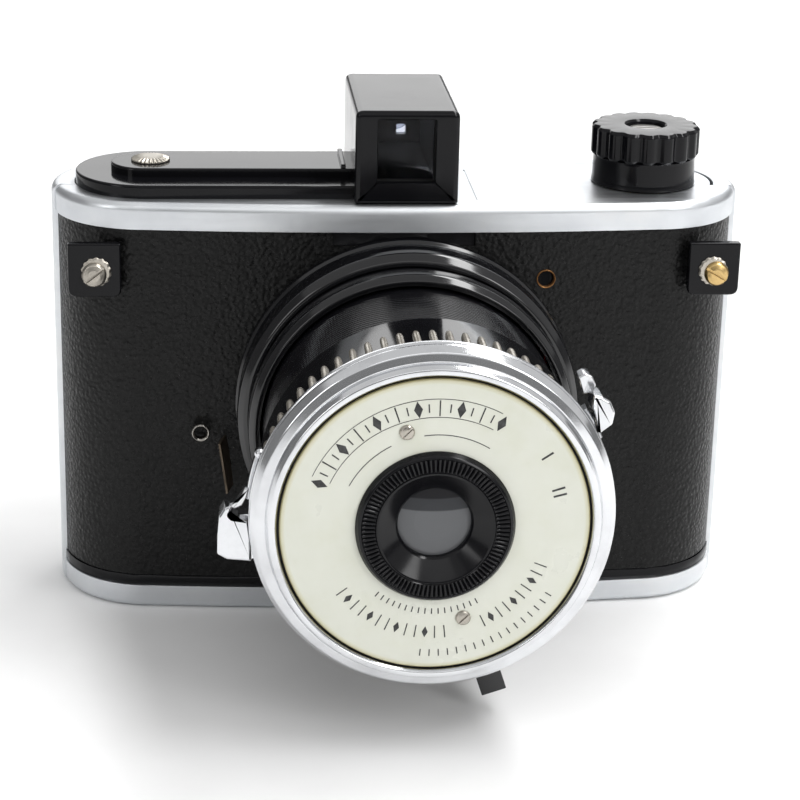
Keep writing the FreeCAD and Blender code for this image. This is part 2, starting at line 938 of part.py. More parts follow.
def make_lug(side, low_x, screw_x):
    """Strap lug: a flat plate on a round boss that stands on the covering."""
    plate = box(
        f"lug_plate_{side}",
        (low_x, D.lug_front, D.lug_low),
        (low_x + D.lug_width, D.lug_front + D.lug_gauge, D.lug_high),
    )
    boss = doc.addObject("Part::Cylinder", f"lug_boss_{side}")
    reach = D.lug_front + D.lug_gauge
    bind(boss, Radius=D.lug_boss, Height=D.lug_boss_length)
    back = reach - D.lug_boss_overlap + D.lug_boss_length
    place(boss, screw_x, back, D.lug_screw_height, FORWARD)
    skin = capsule(
        f"lug_skin_{side}", D.leather_inset, D.bottom_band, BAND_TOP
    )
    hole = doc.addObject("Part::Cylinder", f"lug_hole_{side}")
    bind(hole, Radius=D.screw_shank + D.screw_clearance, Height=FAR)
    place(hole, screw_x, D.lug_front + FAR / 2, D.lug_screw_height, FORWARD)
    keep(f"strap_lug_{side}", cut(fuse([plate, boss]), [skin, hole]))
    head = turned(
        f"strap_screw_turning_{side}",
        [
            (0, -D.lug_screw_length),
            (D.screw_shank, -D.lug_screw_length),
            (D.screw_shank, 0),
            (D.screw_head, 0),
            (D.screw_head * 0.92, D.screw_dome * 0.55),
            (D.screw_head * 0.6, D.screw_dome * 0.9),
            (0, D.screw_dome),
        ],
    )
    place(head, screw_x, D.lug_front, D.lug_screw_height, FORWARD)
    slot = doc.addObject("Part::Box", f"strap_slot_{side}")
    bind(slot, Length=8, Width=D.slot_width, Height=2)
    tilt = {"left": D.lug_screw_tilt_left, "right": D.lug_screw_tilt_right}[side].value
    along = math.cos(math.radians(tilt))
    aside = math.sin(math.radians(tilt))
    place(
        slot,
        screw_x - 4 * along + D.slot_width / 2 * aside,
        D.lug_front - D.screw_dome + D.slot_depth,
        D.lug_screw_height - 4 * aside - D.slot_width / 2 * along,
        FORWARD.multiply(Rotation(Z_AXIS, tilt)),
    )
    keep(f"strap_screw_{side}", cut(head, [slot]))


def make_lugs():
    """The two strap lugs and their screws."""
    places = screw_places()
    make_lug("left", D.lug_left, places["left"])
    make_lug("right", D.lug_right, places["right"])


def make_flange():
    """Fixed rings that the barrel screws out of, and the screws behind them."""
    flange = turned(
        "flange_turning",
        [
            (D.bore_radius, D.flange_start),
            (D.flange_radius, D.flange_start),
            (D.flange_radius, D.flange_end - D.flange_edge),
            (D.flange_radius - D.flange_edge, D.flange_end),
            (D.bore_radius, D.flange_end),
        ],
    )
    on_axis(flange)
    holes = []
    screws = []
    for number, (across, up) in enumerate(flange_screw_places()):
        reach = D.flange_start + D.flange_screw_grip
        holes.append(
            disc(f"flange_hole_{number}", D.screw_shank, 0, reach, across, up)
        )
        shank = disc(
            f"flange_shank_{number}", D.screw_shank - D.close_fit, D.screw_seat, reach, across, up
        )
        head = disc(
            f"flange_head_{number}", D.flange_screw_head, D.screw_seat - D.flange_screw_rise, D.screw_seat, across, up
        )
        screws.append(fuse([shank, head]))
    keep("lens_flange", cut(flange, holes))
    keep("flange_screws", group(screws))
    collar = turned(
        "collar_turning",
        [
            (D.bore_radius, D.flange_end),
            (D.collar_radius, D.flange_end),
            (D.collar_radius, D.collar_end - D.collar_edge),
            (D.collar_radius - D.collar_edge, D.collar_end),
            (D.bore_radius, D.collar_end),
        ],
    )
    keep("flange_collar", on_axis(collar))


def make_barrel():
    """The screwed tube and the shutter housing that it carries."""
    stop = ring("stop_ring", D.stop_inner, D.stop_radius, D.stop_start, D.tube_start)
    keep("barrel_stop_ring", stop)
    tube = ring("tube_turning", D.tube_inner, D.tube_radius, D.tube_start, D.tube_end)
    keep("barrel_tube", tube)
    housing = turned(
        "housing_turning",
        [
            (D.tube_radius + D.screw_clearance, D.housing_start),
            (D.housing_radius, D.housing_start),
            (D.housing_radius, D.housing_end),
            (D.housing_inner, D.housing_end),
            (D.housing_inner, D.housing_shoulder),
            (D.tube_inner, D.housing_shoulder),
            (D.tube_inner, D.tube_end),
            (D.tube_radius + D.screw_clearance, D.tube_end),
        ],
    )
    on_axis(housing)
    low = D.lever_start - D.lever_air
    high = D.lever_start + D.lever_gauge + D.lever_air
    slots = []
    for name, start, end in (
        ("release", D.arm_low - D.slot_margin, D.arm_low + D.release_slot_span + D.release_swing),
        ("selector", D.selector_low - D.selector_swing, D.selector_high),
    ):
        slots.append(
            sector(
                f"{name}_slot",
                D.housing_inner - 1,
                D.grip_radius + 1,
                low,
                high,
                start - D.slot_margin,
                end + D.slot_margin,
            )
        )
    keep("shutter_housing", cut(housing, slots))
    make_grip(low, high)


def make_grip(slot_low, slot_high):
    """Ribbed ring round the front of the housing, broken where the levers come out."""
    body = turned(
        "grip_turning",
        [
            (D.housing_radius + D.close_fit, D.grip_start),
            (D.grip_radius, D.grip_start),
            (D.grip_radius, D.housing_end),
            (D.housing_radius + D.close_fit, D.housing_end),
        ],
    )
    sketch = attached_sketch(body, "grip_gap_plan", "XY_Plane")
    half = D.grip_tooth / 2
    depth_low = D.housing_radius + 0.2
    draw_outline(
        sketch,
        [
            (depth_low, -half),
            (D.grip_radius + 1, -half),
            (D.grip_radius + 1, half),
            (depth_low, half),
        ],
    )
    gap = body.newObject("PartDesign::Pocket", "grip_gap")
    gap.Profile = sketch
    gap.Type = "ThroughAll"
    gap.Reversed = True
    pattern = body.newObject("PartDesign::PolarPattern", "grip_gaps")
    pattern.Originals = [gap]
    pattern.Axis = (sketch, ["N_Axis"])
    pattern.Angle = 360.0
    bind(pattern, Occurrences=D.grip_count)
    body.Tip = pattern
    on_axis(body)
    tools = []
    for name, start, end in (
        ("release", D.arm_low - D.slot_margin, D.arm_high + D.release_swing),
        ("selector", D.selector_low - D.selector_swing, D.selector_high),
    ):
        tools.append(
            sector(
                f"grip_{name}_slot",
                D.housing_radius - 1,
                D.grip_radius + 1,
                slot_low,
                slot_high,
                start - D.slot_margin,
                end + D.slot_margin,
            )
        )
    keep("grip_ring", cut(body, tools))


def make_front():
    """Bezel, face plate, front cover, fluted lens ring and the front glass."""
    bezel = turned(
        "bezel_turning",
        [
            (D.housing_inner, D.housing_end),
            (D.bezel_radius, D.housing_end),
            (D.bezel_radius, D.bezel_side),
            (D.bezel_radius - D.bezel_soft, D.bezel_side + 2 * D.bezel_soft),
            (D.bezel_slope, D.bezel_front),
            (D.lip_radius, D.lip_base),
            (D.lip_crest + D.bezel_soft, D.lip_front - D.bezel_soft),
            (D.lip_crest, D.lip_front),
            (D.lip_inner, D.lip_front - D.hole_clearance),
            (D.lip_inner, D.plate_back),
            (D.housing_inner, D.plate_back),
        ],
    )
    keep("bezel", on_axis(bezel))
    cover = ring(
        "cover_ring", D.cell_hole, D.housing_inner - D.screw_clearance, D.cover_back, D.plate_back
    )
    plate = ring(
        "plate_ring", D.cell_hole, D.plate_radius, D.plate_back, D.plate_front
    )
    cover_holes = []
    plate_holes = []
    rivets = []
    for number, turn in enumerate((0, D.rivet_spacing.value)):
        angle = math.radians(D.rivet_angle.value + turn)
        across = D.rivet_circle * math.cos(angle)
        up = D.rivet_circle * math.sin(angle)
        hole_radius = D.rivet_shank + D.close_fit
        hole_low = D.cover_back - OVER
        hole_high = D.plate_front + OVER
        cover_holes.append(
            disc(f"cover_rivet_hole_{number}", hole_radius, hole_low, hole_high, across, up)
        )
        plate_holes.append(
            disc(f"plate_rivet_hole_{number}", hole_radius, hole_low, hole_high, across, up)
        )
        rivet = turned(
            f"rivet_turning_{number}",
            [
                (0, D.cover_back),
                (D.rivet_shank, D.cover_back),
                (D.rivet_shank, D.plate_front),
                (D.rivet_radius, D.plate_front),
                (D.rivet_radius * 0.8, D.plate_front + D.rivet_head * 0.7),
                (0, D.plate_front + D.rivet_head),
            ],
        )
        rivets.append(on_axis(rivet, across, up))
    keep("front_cover", cut(cover, cover_holes))
    keep("face_plate", cut(plate, plate_holes))
    keep("plate_rivets", group(rivets))
    lens_ring = turned(
        "lens_ring_turning",
        [
            (D.cell_bore, D.cell_start),
            (D.cell_radius, D.cell_start),
            (D.cell_radius, D.plate_front),
            (D.ring_radius, D.plate_front),
            (D.ring_radius, D.ring_front - D.ring_edge),
            (D.ring_radius - D.ring_edge, D.ring_front),
            (D.ring_cone, D.ring_front),
            (D.opening_radius, D.opening_back),
            (D.opening_radius, D.glass_front),
            (D.cell_bore, D.glass_front),
        ],
    )
    keep("lens_ring", on_axis(lens_ring))
    glass_back = D.glass_front - D.glass_gauge
    keep("front_lens", make_glass("front_glass", glass_back, D.glass_gauge))
    keeper = ring(
        "keeper_ring", D.keeper_inner, D.glass_radius, D.cell_start, glass_back
    )
    keep("lens_retainer", keeper)


def make_glass(name, back, gauge):
    """A plano-convex lens: flat behind and domed in front."""
    front = back + gauge
    blank = disc(f"{name}_blank", D.glass_radius, back, front)
    dome = doc.addObject("Part::Sphere", f"{name}_dome")
    bind(dome, Radius=D.glass_curve)
    on_axis(dome, 0, 0, front - D.glass_curve)
    return common(blank, dome)


def make_shutter():
    """Shutter works: base, aperture plate, rotary disc, pillars and rear glass."""
    base_front = D.housing_shoulder + D.base_gauge
    base = ring(
        "base_ring",
        D.base_hole,
        D.housing_inner - D.screw_clearance,
        D.housing_shoulder,
        base_front,
    )
    keep("shutter_base", base)
    stop_front = base_front + D.stop_gauge
    stop = ring(
        "aperture_ring", D.stop_hole, D.disc_radius + D.stop_margin, base_front, stop_front
    )
    keep("aperture_plate", stop)
    blade = disc(
        "blade_disc",
        D.disc_radius,
        D.disc_station,
        D.disc_station + D.disc_gauge,
        0,
        -D.disc_offset,
    )
    hole = disc(
        "blade_hole",
        D.pivot_radius + D.pivot_clearance,
        D.disc_station - OVER,
        D.disc_station + OVER,
        0,
        -D.disc_offset,
    )
    window = disc(
        "blade_window",
        D.disc_window,
        D.disc_station - OVER,
        D.disc_station + OVER,
        D.disc_offset,
        -D.disc_offset,
    )
    keep("shutter_disc", cut(blade, [hole, window]))
    pivot = disc(
        "pivot_pin", D.pivot_radius, stop_front, D.disc_station + D.pivot_rise, 0, -D.disc_offset
    )
    keep("shutter_pivot", pivot)
    pillars = []
    for number, angle in enumerate(PILLAR_ANGLES):
        pillars.append(
            disc(
                f"pillar_{number}",
                D.pillar_radius,
                base_front,
                D.cover_back,
                D.pillar_circle * math.cos(math.radians(angle)),
                D.pillar_circle * math.sin(math.radians(angle)),
            )
        )
    keep("shutter_pillars", group(pillars))
    coils = []
    angle = math.radians(D.spring_angle.value)
    for turn in range(3):
        coil = doc.addObject("Part::Torus", f"spring_coil_{turn}")
        bind(coil, Radius1=D.spring_radius, Radius2=D.wire_radius)
        on_axis(
            coil,
            D.spring_circle * math.cos(angle),
            D.spring_circle * math.sin(angle),
            base_front + D.wire_radius * (2 * turn + 1),
        )
        coils.append(coil)
    keep("release_spring", group(coils))
    cell = turned(
        "rear_cell_turning",
        [
            (D.cell_bore, D.rear_cell_start),
            (D.cell_radius, D.rear_cell_start),
            (D.cell_radius, D.housing_shoulder),
            (D.base_hole, D.housing_shoulder),
            (D.base_hole, D.housing_shoulder - D.cell_rim),
            (D.cell_bore, D.housing_shoulder - D.cell_rim),
        ],
    )
    keep("rear_lens_cell", on_axis(cell))
    rear_back = D.housing_shoulder - D.cell_rim - D.rear_glass_gauge
    keep("rear_lens", make_glass("rear_glass", rear_back, D.rear_glass_gauge))


def make_levers():
    """Release and selector levers, each with a link that runs into the housing."""
    end = D.lever_start + D.lever_gauge
    arm = sector(
        "release_arm",
        D.arm_inner,
        D.arm_outer,
        D.lever_start,
        end,
        D.arm_low,
        D.arm_high,
    )
    link = radial_bar(
        "release_link",
        D.link_inner,
        D.arm_outer - D.link_inset,
        D.link_width,
        D.lever_start,
        end,
        D.arm_low + D.link_turn,
    )
    tab = sector(
        "release_tab",
        D.arm_outer - D.tab_overlap,
        D.tab_outer,
        D.tab_start,
        D.tab_end,
        D.tab_low,
        D.arm_high,
    )
    keep("release_lever", fuse([arm, link, tab]))
    middle = (D.selector_low + D.selector_high) / 2
    knob = sector(
        "selector_tab",
        D.arm_inner,
        D.selector_outer,
        D.selector_start,
        D.tab_end,
        D.selector_low,
        D.selector_high,
    )
    stem = radial_bar(
        "selector_link",
        D.link_inner,
        D.selector_outer - D.stem_inset,
        D.link_width,
        D.lever_start,
        end,
        middle,
    )
    keep("selector_lever", fuse([knob, stem]))


def make_foot():
    """Stand foot: a leg under the barrel on a pad screwed to the housing."""
    leg = radial_bar(
        "foot_leg",
        D.housing_radius + D.foot_root,
        D.foot_radius,
        D.foot_width,
        D.foot_start,
        D.foot_start + D.foot_gauge,
        D.foot_angle,
    )
    pad = sector(
        "foot_pad",
        D.housing_radius,
        D.housing_radius + D.foot_pad_gauge,
        D.foot_pad_start,
        D.foot_start + D.foot_gauge,
        D.foot_angle - D.foot_pad_spread,
        D.foot_angle + D.foot_pad_spread,
    )
    turn = math.radians(D.foot_angle.value)
    along = math.cos(turn)
    aside = math.sin(turn)
    level = (D.foot_pad_start + D.foot_start) / 2
    pad_face = D.housing_radius + D.foot_pad_gauge
    seat = pad_face + D.hole_clearance
    shank_start = D.tube_radius + D.foot_screw_reach
    shank_radius = D.foot_screw_radius / 2
    outward = FORWARD.multiply(Rotation(Vector(-aside, along, 0), 90))
    shank = turned(
        "foot_screw_turning",
        [
            (0, shank_start),
            (shank_radius, shank_start),
            (shank_radius, seat),
            (D.foot_screw_radius, seat),
            (D.foot_screw_radius, seat + D.foot_screw_side),
            (0, seat + D.foot_screw_side + D.foot_screw_dome),
        ],
    )
    place(shank, D.axis_across, FACE - level, D.axis_height, outward)
    hole = doc.addObject("Part::Cylinder", "foot_screw_hole")
    bind(hole, Radius=shank_radius + D.screw_clearance, Height=D.foot_radius)
    place(hole, D.axis_across, FACE - level, D.axis_height, outward)
    keep("stand_foot", cut(fuse([leg, pad]), [hole]))
    keep("foot_screw", shank)
    rework("shutter_housing", cut(SUBPARTS["shutter_housing"], [hole]))


def scallop_places(count, circle):
    """Evenly spaced places round the knob's rim."""
    for number in range(count):
        angle = 2 * math.pi * number / count
        yield circle * math.cos(angle), circle * math.sin(angle)


def make_knob():
    """Winding knob with its screw, shaft, key, bush and clutch spring."""
    x = D.wind_across
    y = D.wind_middle
    foot = PLATE_TOP + D.knob_gap
    body = turned(
        "knob_turning",
        [
            (D.knob_hollow, foot),
            (D.knob_collar, foot),
            (D.knob_collar, D.knob_head),
            (D.knob_radius, D.knob_head),
            (D.knob_radius, D.knob_top - D.knob_bevel),
            (D.knob_radius - D.knob_bevel, D.knob_top),
            (D.recess_radius, D.knob_top),
            (D.recess_radius, D.recess_floor),
            (D.shaft_radius, D.recess_floor),
            (D.shaft_radius, D.knob_ceiling),
            (D.knob_hollow, D.knob_ceiling),
        ],
    )
    sketch = attached_sketch(body, "scallop_plan", "XY_Plane")
    centre = D.knob_radius + D.knob_scallop * 0.35
    circle = Part.Circle(Vector(centre.value, 0, 0), Z_AXIS, D.knob_scallop.value)
    sketch.addGeometry(circle, False)
    sketch.addConstraint(Sketcher.Constraint("PointOnObject", 0, 3, -1))
    for kind, size in (("DistanceX", centre), ("Radius", D.knob_scallop)):
        if kind == "Radius":
            constraint = Sketcher.Constraint(kind, 0, size.value)
        else:
            constraint = Sketcher.Constraint(kind, -1, 1, 0, 3, size.value)
        number = sketch.addConstraint(constraint)
        sketch.setExpression(f"Constraints[{number}]", size.text)
    sketch.AttachmentOffset = FreeCAD.Placement(
        Vector(0, 0, (D.knob_head + D.knob_rim).value), Rotation()
    )
    sketch.setExpression("AttachmentOffset.Base.z", (D.knob_head + D.knob_rim).text)
    scallop = body.newObject("PartDesign::Pocket", "scallop")
    scallop.Profile = sketch
    scallop.Type = "ThroughAll"
    scallop.Reversed = True
    pattern = body.newObject("PartDesign::PolarPattern", "scallops")
    pattern.Originals = [scallop]
    pattern.Axis = (sketch, ["N_Axis"])
    pattern.Angle = 360.0
    bind(pattern, Occurrences=D.knob_scallops)
    body.Tip = pattern
    keep("winding_knob", place(body, x, y, 0))
    shaft = turned(
        "shaft_turning",
        [
            (0, D.key_foot + D.key_shoulder),
            (D.key_radius, D.key_foot + D.key_shoulder),
            (D.key_radius, D.shaft_step),
            (D.shaft_radius - D.shaft_fit, D.shaft_step),
            (D.shaft_radius - D.shaft_fit, D.recess_floor),
            (D.knob_screw_bore, D.recess_floor),
            (D.knob_screw_bore, D.recess_floor - D.knob_screw_depth),
            (0, D.recess_floor - D.knob_screw_depth),
        ],
    )
    place(shaft, x, y, 0)
    blade = box(
        "key_blade",
        (x - D.key_half_width, y - D.key_half_gauge, D.key_foot),
        (x + D.key_half_width, y + D.key_half_gauge, D.key_foot + D.key_length),
    )
    keep("winding_shaft", fuse([shaft, blade]))
    bush = turned(
        "bush_turning",
        [
            (D.shaft_radius + D.shaft_clearance, D.bush_low),
            (D.bush_radius, D.bush_low),
            (D.bush_radius, PLATE_TOP),
            (D.bush_flange, PLATE_TOP),
            (D.bush_flange, PLATE_TOP + D.bush_lip),
            (D.shaft_radius + D.shaft_clearance, PLATE_TOP + D.bush_lip),
        ],
    )
    keep("knob_bush", place(bush, x, y, 0))
    coils = []
    for turn in range(3):
        coil = doc.addObject("Part::Torus", f"clutch_coil_{turn}")
        bind(coil, Radius1=D.bush_radius, Radius2=D.wire_radius)
        level = D.knob_ceiling - D.wire_radius * (2 * turn + 1)
        coils.append(place(coil, x, y, level))
    keep("clutch_spring", group(coils))
    head_radius = D.recess_radius - D.knob_screw_gap
    screw = turned(
        "knob_screw_turning",
        [
            (0, D.recess_floor - D.knob_screw_length),
            (D.knob_screw_shank, D.recess_floor - D.knob_screw_length),
            (D.knob_screw_shank, D.recess_floor),
            (head_radius, D.recess_floor),
            (head_radius - D.knob_screw_taper, D.recess_floor + D.knob_screw_side),
            (0, D.recess_floor + D.knob_screw_rise),
        ],
    )
    place(screw, x, y, 0)
    slot_floor = D.recess_floor + D.knob_screw_rise - D.slot_depth
    slot = box(
        "knob_screw_slot",
        (x - D.recess_radius, y - D.slot_width / 2, slot_floor),
        (x + D.recess_radius, y + D.slot_width / 2, D.recess_floor + OVER),
    )
    keep("knob_screw", cut(screw, [slot]))


def make_spools():
    """Take-up spool, and the lower seats of both spools."""
    top = D.spool_foot + D.spool_length
    spool = turned(
        "spool_turning",
        [
            (0, D.spool_foot + D.spool_hole_depth),
            (D.spool_hole, D.spool_foot + D.spool_hole_depth),
            (D.spool_hole, D.spool_foot),
            (D.spool_radius, D.spool_foot),
            (D.spool_radius, D.spool_foot + D.spool_flange),
            (D.spool_core, D.spool_foot + D.spool_flange),
            (D.spool_core, top - D.spool_flange),
            (D.spool_radius, top - D.spool_flange),
            (D.spool_radius, top),
            (D.spool_hole, top),
            (D.spool_hole, D.key_foot - D.hole_clearance),
            (0, D.key_foot - D.hole_clearance),
        ],
    )
    keep("takeup_spool", place(spool, D.wind_across, D.wind_middle, 0))
    seats = []
    for name, x, y in (
        ("takeup", D.wind_across, D.wind_middle),
        ("supply", D.stud_across, D.bar_middle),
    ):
        seat = turned(
            f"seat_turning_{name}",
            [
                (0, HOLLOW_LOW),
                (D.seat_radius, HOLLOW_LOW),
                (D.seat_radius, HOLLOW_LOW + D.seat_gauge),
                (D.seat_pin, HOLLOW_LOW + D.seat_gauge),
                (D.seat_pin, D.seat_pin_top),
                (0, D.seat_pin_top),
            ],
        )
        seats.append(place(seat, x, y, 0))
    keep("spool_seats", group(seats))


def make_film_path():
    """Dark chamber, film gate with its rails, guide rollers and their pins."""
    left = D.axis_across - D.box_half_width
    right = D.axis_across + D.box_half_width
    low = D.axis_height - D.box_half_height
    high = D.axis_height + D.box_half_height
    wall = D.box_wall
    outer = box("chamber_outer", (left, -D.body_depth, low), (right, D.box_rear, high))
    inner = box(
        "chamber_inner",
        (left + wall, -D.body_depth - OVER, low + wall),
        (right - wall, D.box_rear + OVER, high - wall),
    )
    limit = capsule("chamber_limit", HOLLOW_INSET, HOLLOW_LOW, HOLLOW_HIGH)
    keep("light_box", common(cut(outer, [inner]), limit))
    gate_front = D.box_rear
    gate_back = gate_front + D.gate_gauge
    frame = box(
        "gate_frame",
        (left - D.gate_side, gate_front, low - D.gate_foot),
        (right + D.gate_side, gate_back, high + D.gate_head),
    )
    window = box(
        "gate_window",
        (
            D.axis_across - D.gate_half_width,
            gate_front - OVER,
            D.axis_height - D.gate_half_height,
        ),
        (
            D.axis_across + D.gate_half_width,
            gate_back + OVER,
            D.axis_height + D.gate_half_height,
        ),
    )
    rails = []
    rail_low = low - D.gate_foot
    rail_high = high + D.gate_head - D.rail_width
    for name, level in (("lower", rail_low), ("upper", rail_high)):
        rails.append(
            box(
                f"gate_rail_{name}",
                (left, gate_back, level),
                (right, gate_back + D.rail_gauge, level + D.rail_width),
            )
        )
    ears = []
    holes = []
    pins = []
    pin_low = D.roller_low - D.ear_gap - D.ear_gauge
    pin_high = D.roller_high + D.ear_gap + D.ear_gauge
    reach = D.ear_reach
    for side, sign in (("left", -1), ("right", 1)):
        x = D.axis_across + sign * D.roller_offset
        y = D.roller_depth
        inner_x = D.axis_across + sign * D.box_half_width
        outer_x = x + sign * reach
        first, last = (outer_x, inner_x) if sign < 0 else (inner_x, outer_x)
        for end, level in (("low", pin_low), ("high", pin_high - D.ear_gauge)):
            ears.append(
                box(
                    f"gate_ear_{side}_{end}",
                    (first, y - reach, level),
                    (last, gate_back, level + D.ear_gauge),
                )
            )
        holes.append(
            rod(
                f"ear_hole_{side}",
                D.roller_pin + D.close_fit,
                pin_low - OVER,
                pin_high + OVER,
                x,
                y,
            )
        )
        pins.append(rod(f"roller_pin_{side}", D.roller_pin, pin_low, pin_high, x, y))
        roller = cut(
            rod(f"roller_{side}", D.roller_radius, D.roller_low, D.roller_high, x, y),
            [rod(f"roller_bore_{side}", D.roller_bore, 0, D.body_height, x, y)],
        )
        keep(f"film_roller_{side}", roller)
    gate = cut(fuse([frame] + rails + ears), [window] + holes)
    keep("film_gate", gate)
    keep("roller_pins", group(pins))


def make_back():
    """Removable back with its film windows, pressure plate and sliding latch."""
    outer = capsule("cover_outer", 0, 0, PLATE_TOP, "both")
    rear_space = box(
        "cover_space", (-FAR, D.seam_line + D.cover_gap, -FAR), (FAR, FAR, FAR)
    )
    inner = capsule("cover_inner", D.cover_gauge, CAP_LOW, CAP_HIGH)
    mouth = capsule("cover_mouth", D.rim_width - D.cover_gap, -1, PLATE_TOP + 1)
    rear_face = D.body_depth / 2
    wall_face = rear_face - D.cover_gauge
    ports = []
    frames = []
    panes = []
    sights = []
    for side, x in (("left", -D.port_offset), ("right", D.port_offset)):
        centre = D.axis_across + x
        near = wall_face - OVER
        far = rear_face + OVER
        ports.append(y_rod(f"port_{side}", D.port_radius, near, far, centre))
        sights.append(y_rod(f"sight_{side}", D.port_radius, near, far, centre))
        frames.append(
            y_rod(
                f"port_rim_{side}",
                D.port_ring,
                rear_face - D.skin_recess - D.hole_clearance,
                rear_face + D.port_lip,
                centre,
            )
        )
        panes.append(
            y_rod(
                f"port_pane_{side}",
                D.port_ring,
                wall_face - D.port_glass,
                wall_face,
                centre,
            )
        )
    throw = D.latch_throw
    neck = D.latch_neck
    slot = box(
        "latch_slot",
        (
            D.latch_across - neck / 2 - throw - D.latch_air,
            wall_face - 1,
            D.latch_height - neck / 2 - D.latch_air,
        ),
        (
            D.latch_across + neck / 2 + D.latch_air,
            rear_face + 1,
            D.latch_height + neck / 2 + D.latch_air,
        ),
    )
    skin_space = box("skin_space", (-FAR, D.skin_start, -FAR), (FAR, FAR, FAR))
    skin_low = D.bottom_band
    beyond = capsule("skin_beyond", -D.cover_gauge, skin_low, BAND_TOP)
    below = capsule("skin_below", D.skin_recess, skin_low - 1, BAND_TOP + 1)
    recess = common(cut(beyond, [below]), skin_space)
    shell = common(cut(outer, [inner, mouth]), rear_space)
    shell = fuse([cut(shell, [recess])] + frames)
    keep("back_cover", cut(shell, ports + [slot]))
    keep("red_windows", group(panes))
    make_back_covering(slot)
    button = box(
        "latch_button",
        (
            D.latch_across - D.latch_width / 2,
            rear_face + D.latch_air,
            D.latch_height - D.latch_tall / 2,
        ),
        (
            D.latch_across + D.latch_width / 2,
            rear_face + D.latch_air + D.latch_gauge,
            D.latch_height + D.latch_tall / 2,
        ),
    )
    stem = box(
        "latch_stem",
        (
            D.latch_across - neck / 2,
            wall_face - D.latch_air,
            D.latch_height - neck / 2,
        ),
        (
            D.latch_across + neck / 2,
            rear_face + D.latch_air,
            D.latch_height + neck / 2,
        ),
    )
    tongue = box(
        "latch_tongue",
        (
            D.latch_across - D.latch_width / 2,
            wall_face - D.latch_air - D.latch_tongue,
            D.latch_height - neck,
        ),
        (
            D.latch_across + D.latch_width / 2,
            wall_face - D.latch_air,
            D.latch_height + neck,
        ),
    )
    keep("back_latch", fuse([button, stem, tongue]))
    gate_rear = D.box_rear + D.gate_gauge + D.rail_gauge
    plate_front = gate_rear + D.pressure_gap
    plate = box(
        "pressure_blank",
        (
            D.axis_across - D.pressure_half_width,
            plate_front,
            D.axis_height - D.pressure_half_height,
        ),
        (
            D.axis_across + D.pressure_half_width,
            plate_front + D.pressure_gauge,
            D.axis_height + D.pressure_half_height,
        ),
    )
    keep("pressure_plate", cut(plate, sights))
    springs = []
    plate_back = plate_front + D.pressure_gauge
    for name, level in (("lower", D.press_leaf_low), ("upper", D.press_leaf_high)):
        springs.append(leaf_spring(name, level, plate_back, wall_face))
    keep("pressure_springs", group(springs))


def make_back_covering(slot):
    """Grained covering of the back, in the recess between the cover's bright edges."""
    skin = capsule("back_skin", D.skin_inset, D.bottom_band, BAND_TOP)
    under = capsule("back_under", D.skin_recess, 0, D.body_height)
    area = box("back_area", (-FAR, D.skin_start, -FAR), (FAR, FAR, FAR))
    holes = []
    for side, x in (("left", -D.port_offset), ("right", D.port_offset)):
        centre = D.axis_across + x
        radius = D.port_ring + D.hole_clearance
        holes.append(y_rod(f"skin_port_{side}", radius, 0, D.body_depth, centre))
    keep("back_leatherette", cut(common(skin, area), [under, slot] + holes))


def y_rod(name, radius, near, far, x, up=None):
    """A cylinder that runs straight back along +Y at the lens's height."""
    cylinder = doc.addObject("Part::Cylinder", name)
    bind(cylinder, Radius=radius, Height=as_size(far) - near)
    level = D.axis_height if up is None else up
    return place(cylinder, x, far, level, FORWARD)


def leaf_spring(name, level, near, far):
    """A bowed strip between the pressure plate and the back."""
    body = doc.addObject("PartDesign::Body", f"leaf_{name}")
    sketch = attached_sketch(body, f"leaf_{name}_bend", "XY_Plane")
    gauge = D.press_leaf_gauge
    span = D.press_leaf_span - D.press_leaf_foot
    left = D.axis_across - D.press_leaf_foot
    right = D.axis_across + D.press_leaf_foot
    draw_outline(
        sketch,
        [
            (left - span, far - gauge),
            (left, near),
            (right, near),
            (right + span, far - gauge),
            (right + span, far),
            (right, near + gauge),
            (left, near + gauge),
            (left - span, far),
        ],
    )
    pad = body.newObject("PartDesign::Pad", f"leaf_{name}_pad")
    pad.Profile = sketch
    bind(pad, Length=D.press_leaf_width)
    return place(body, 0, 0, level - D.press_leaf_width / 2)


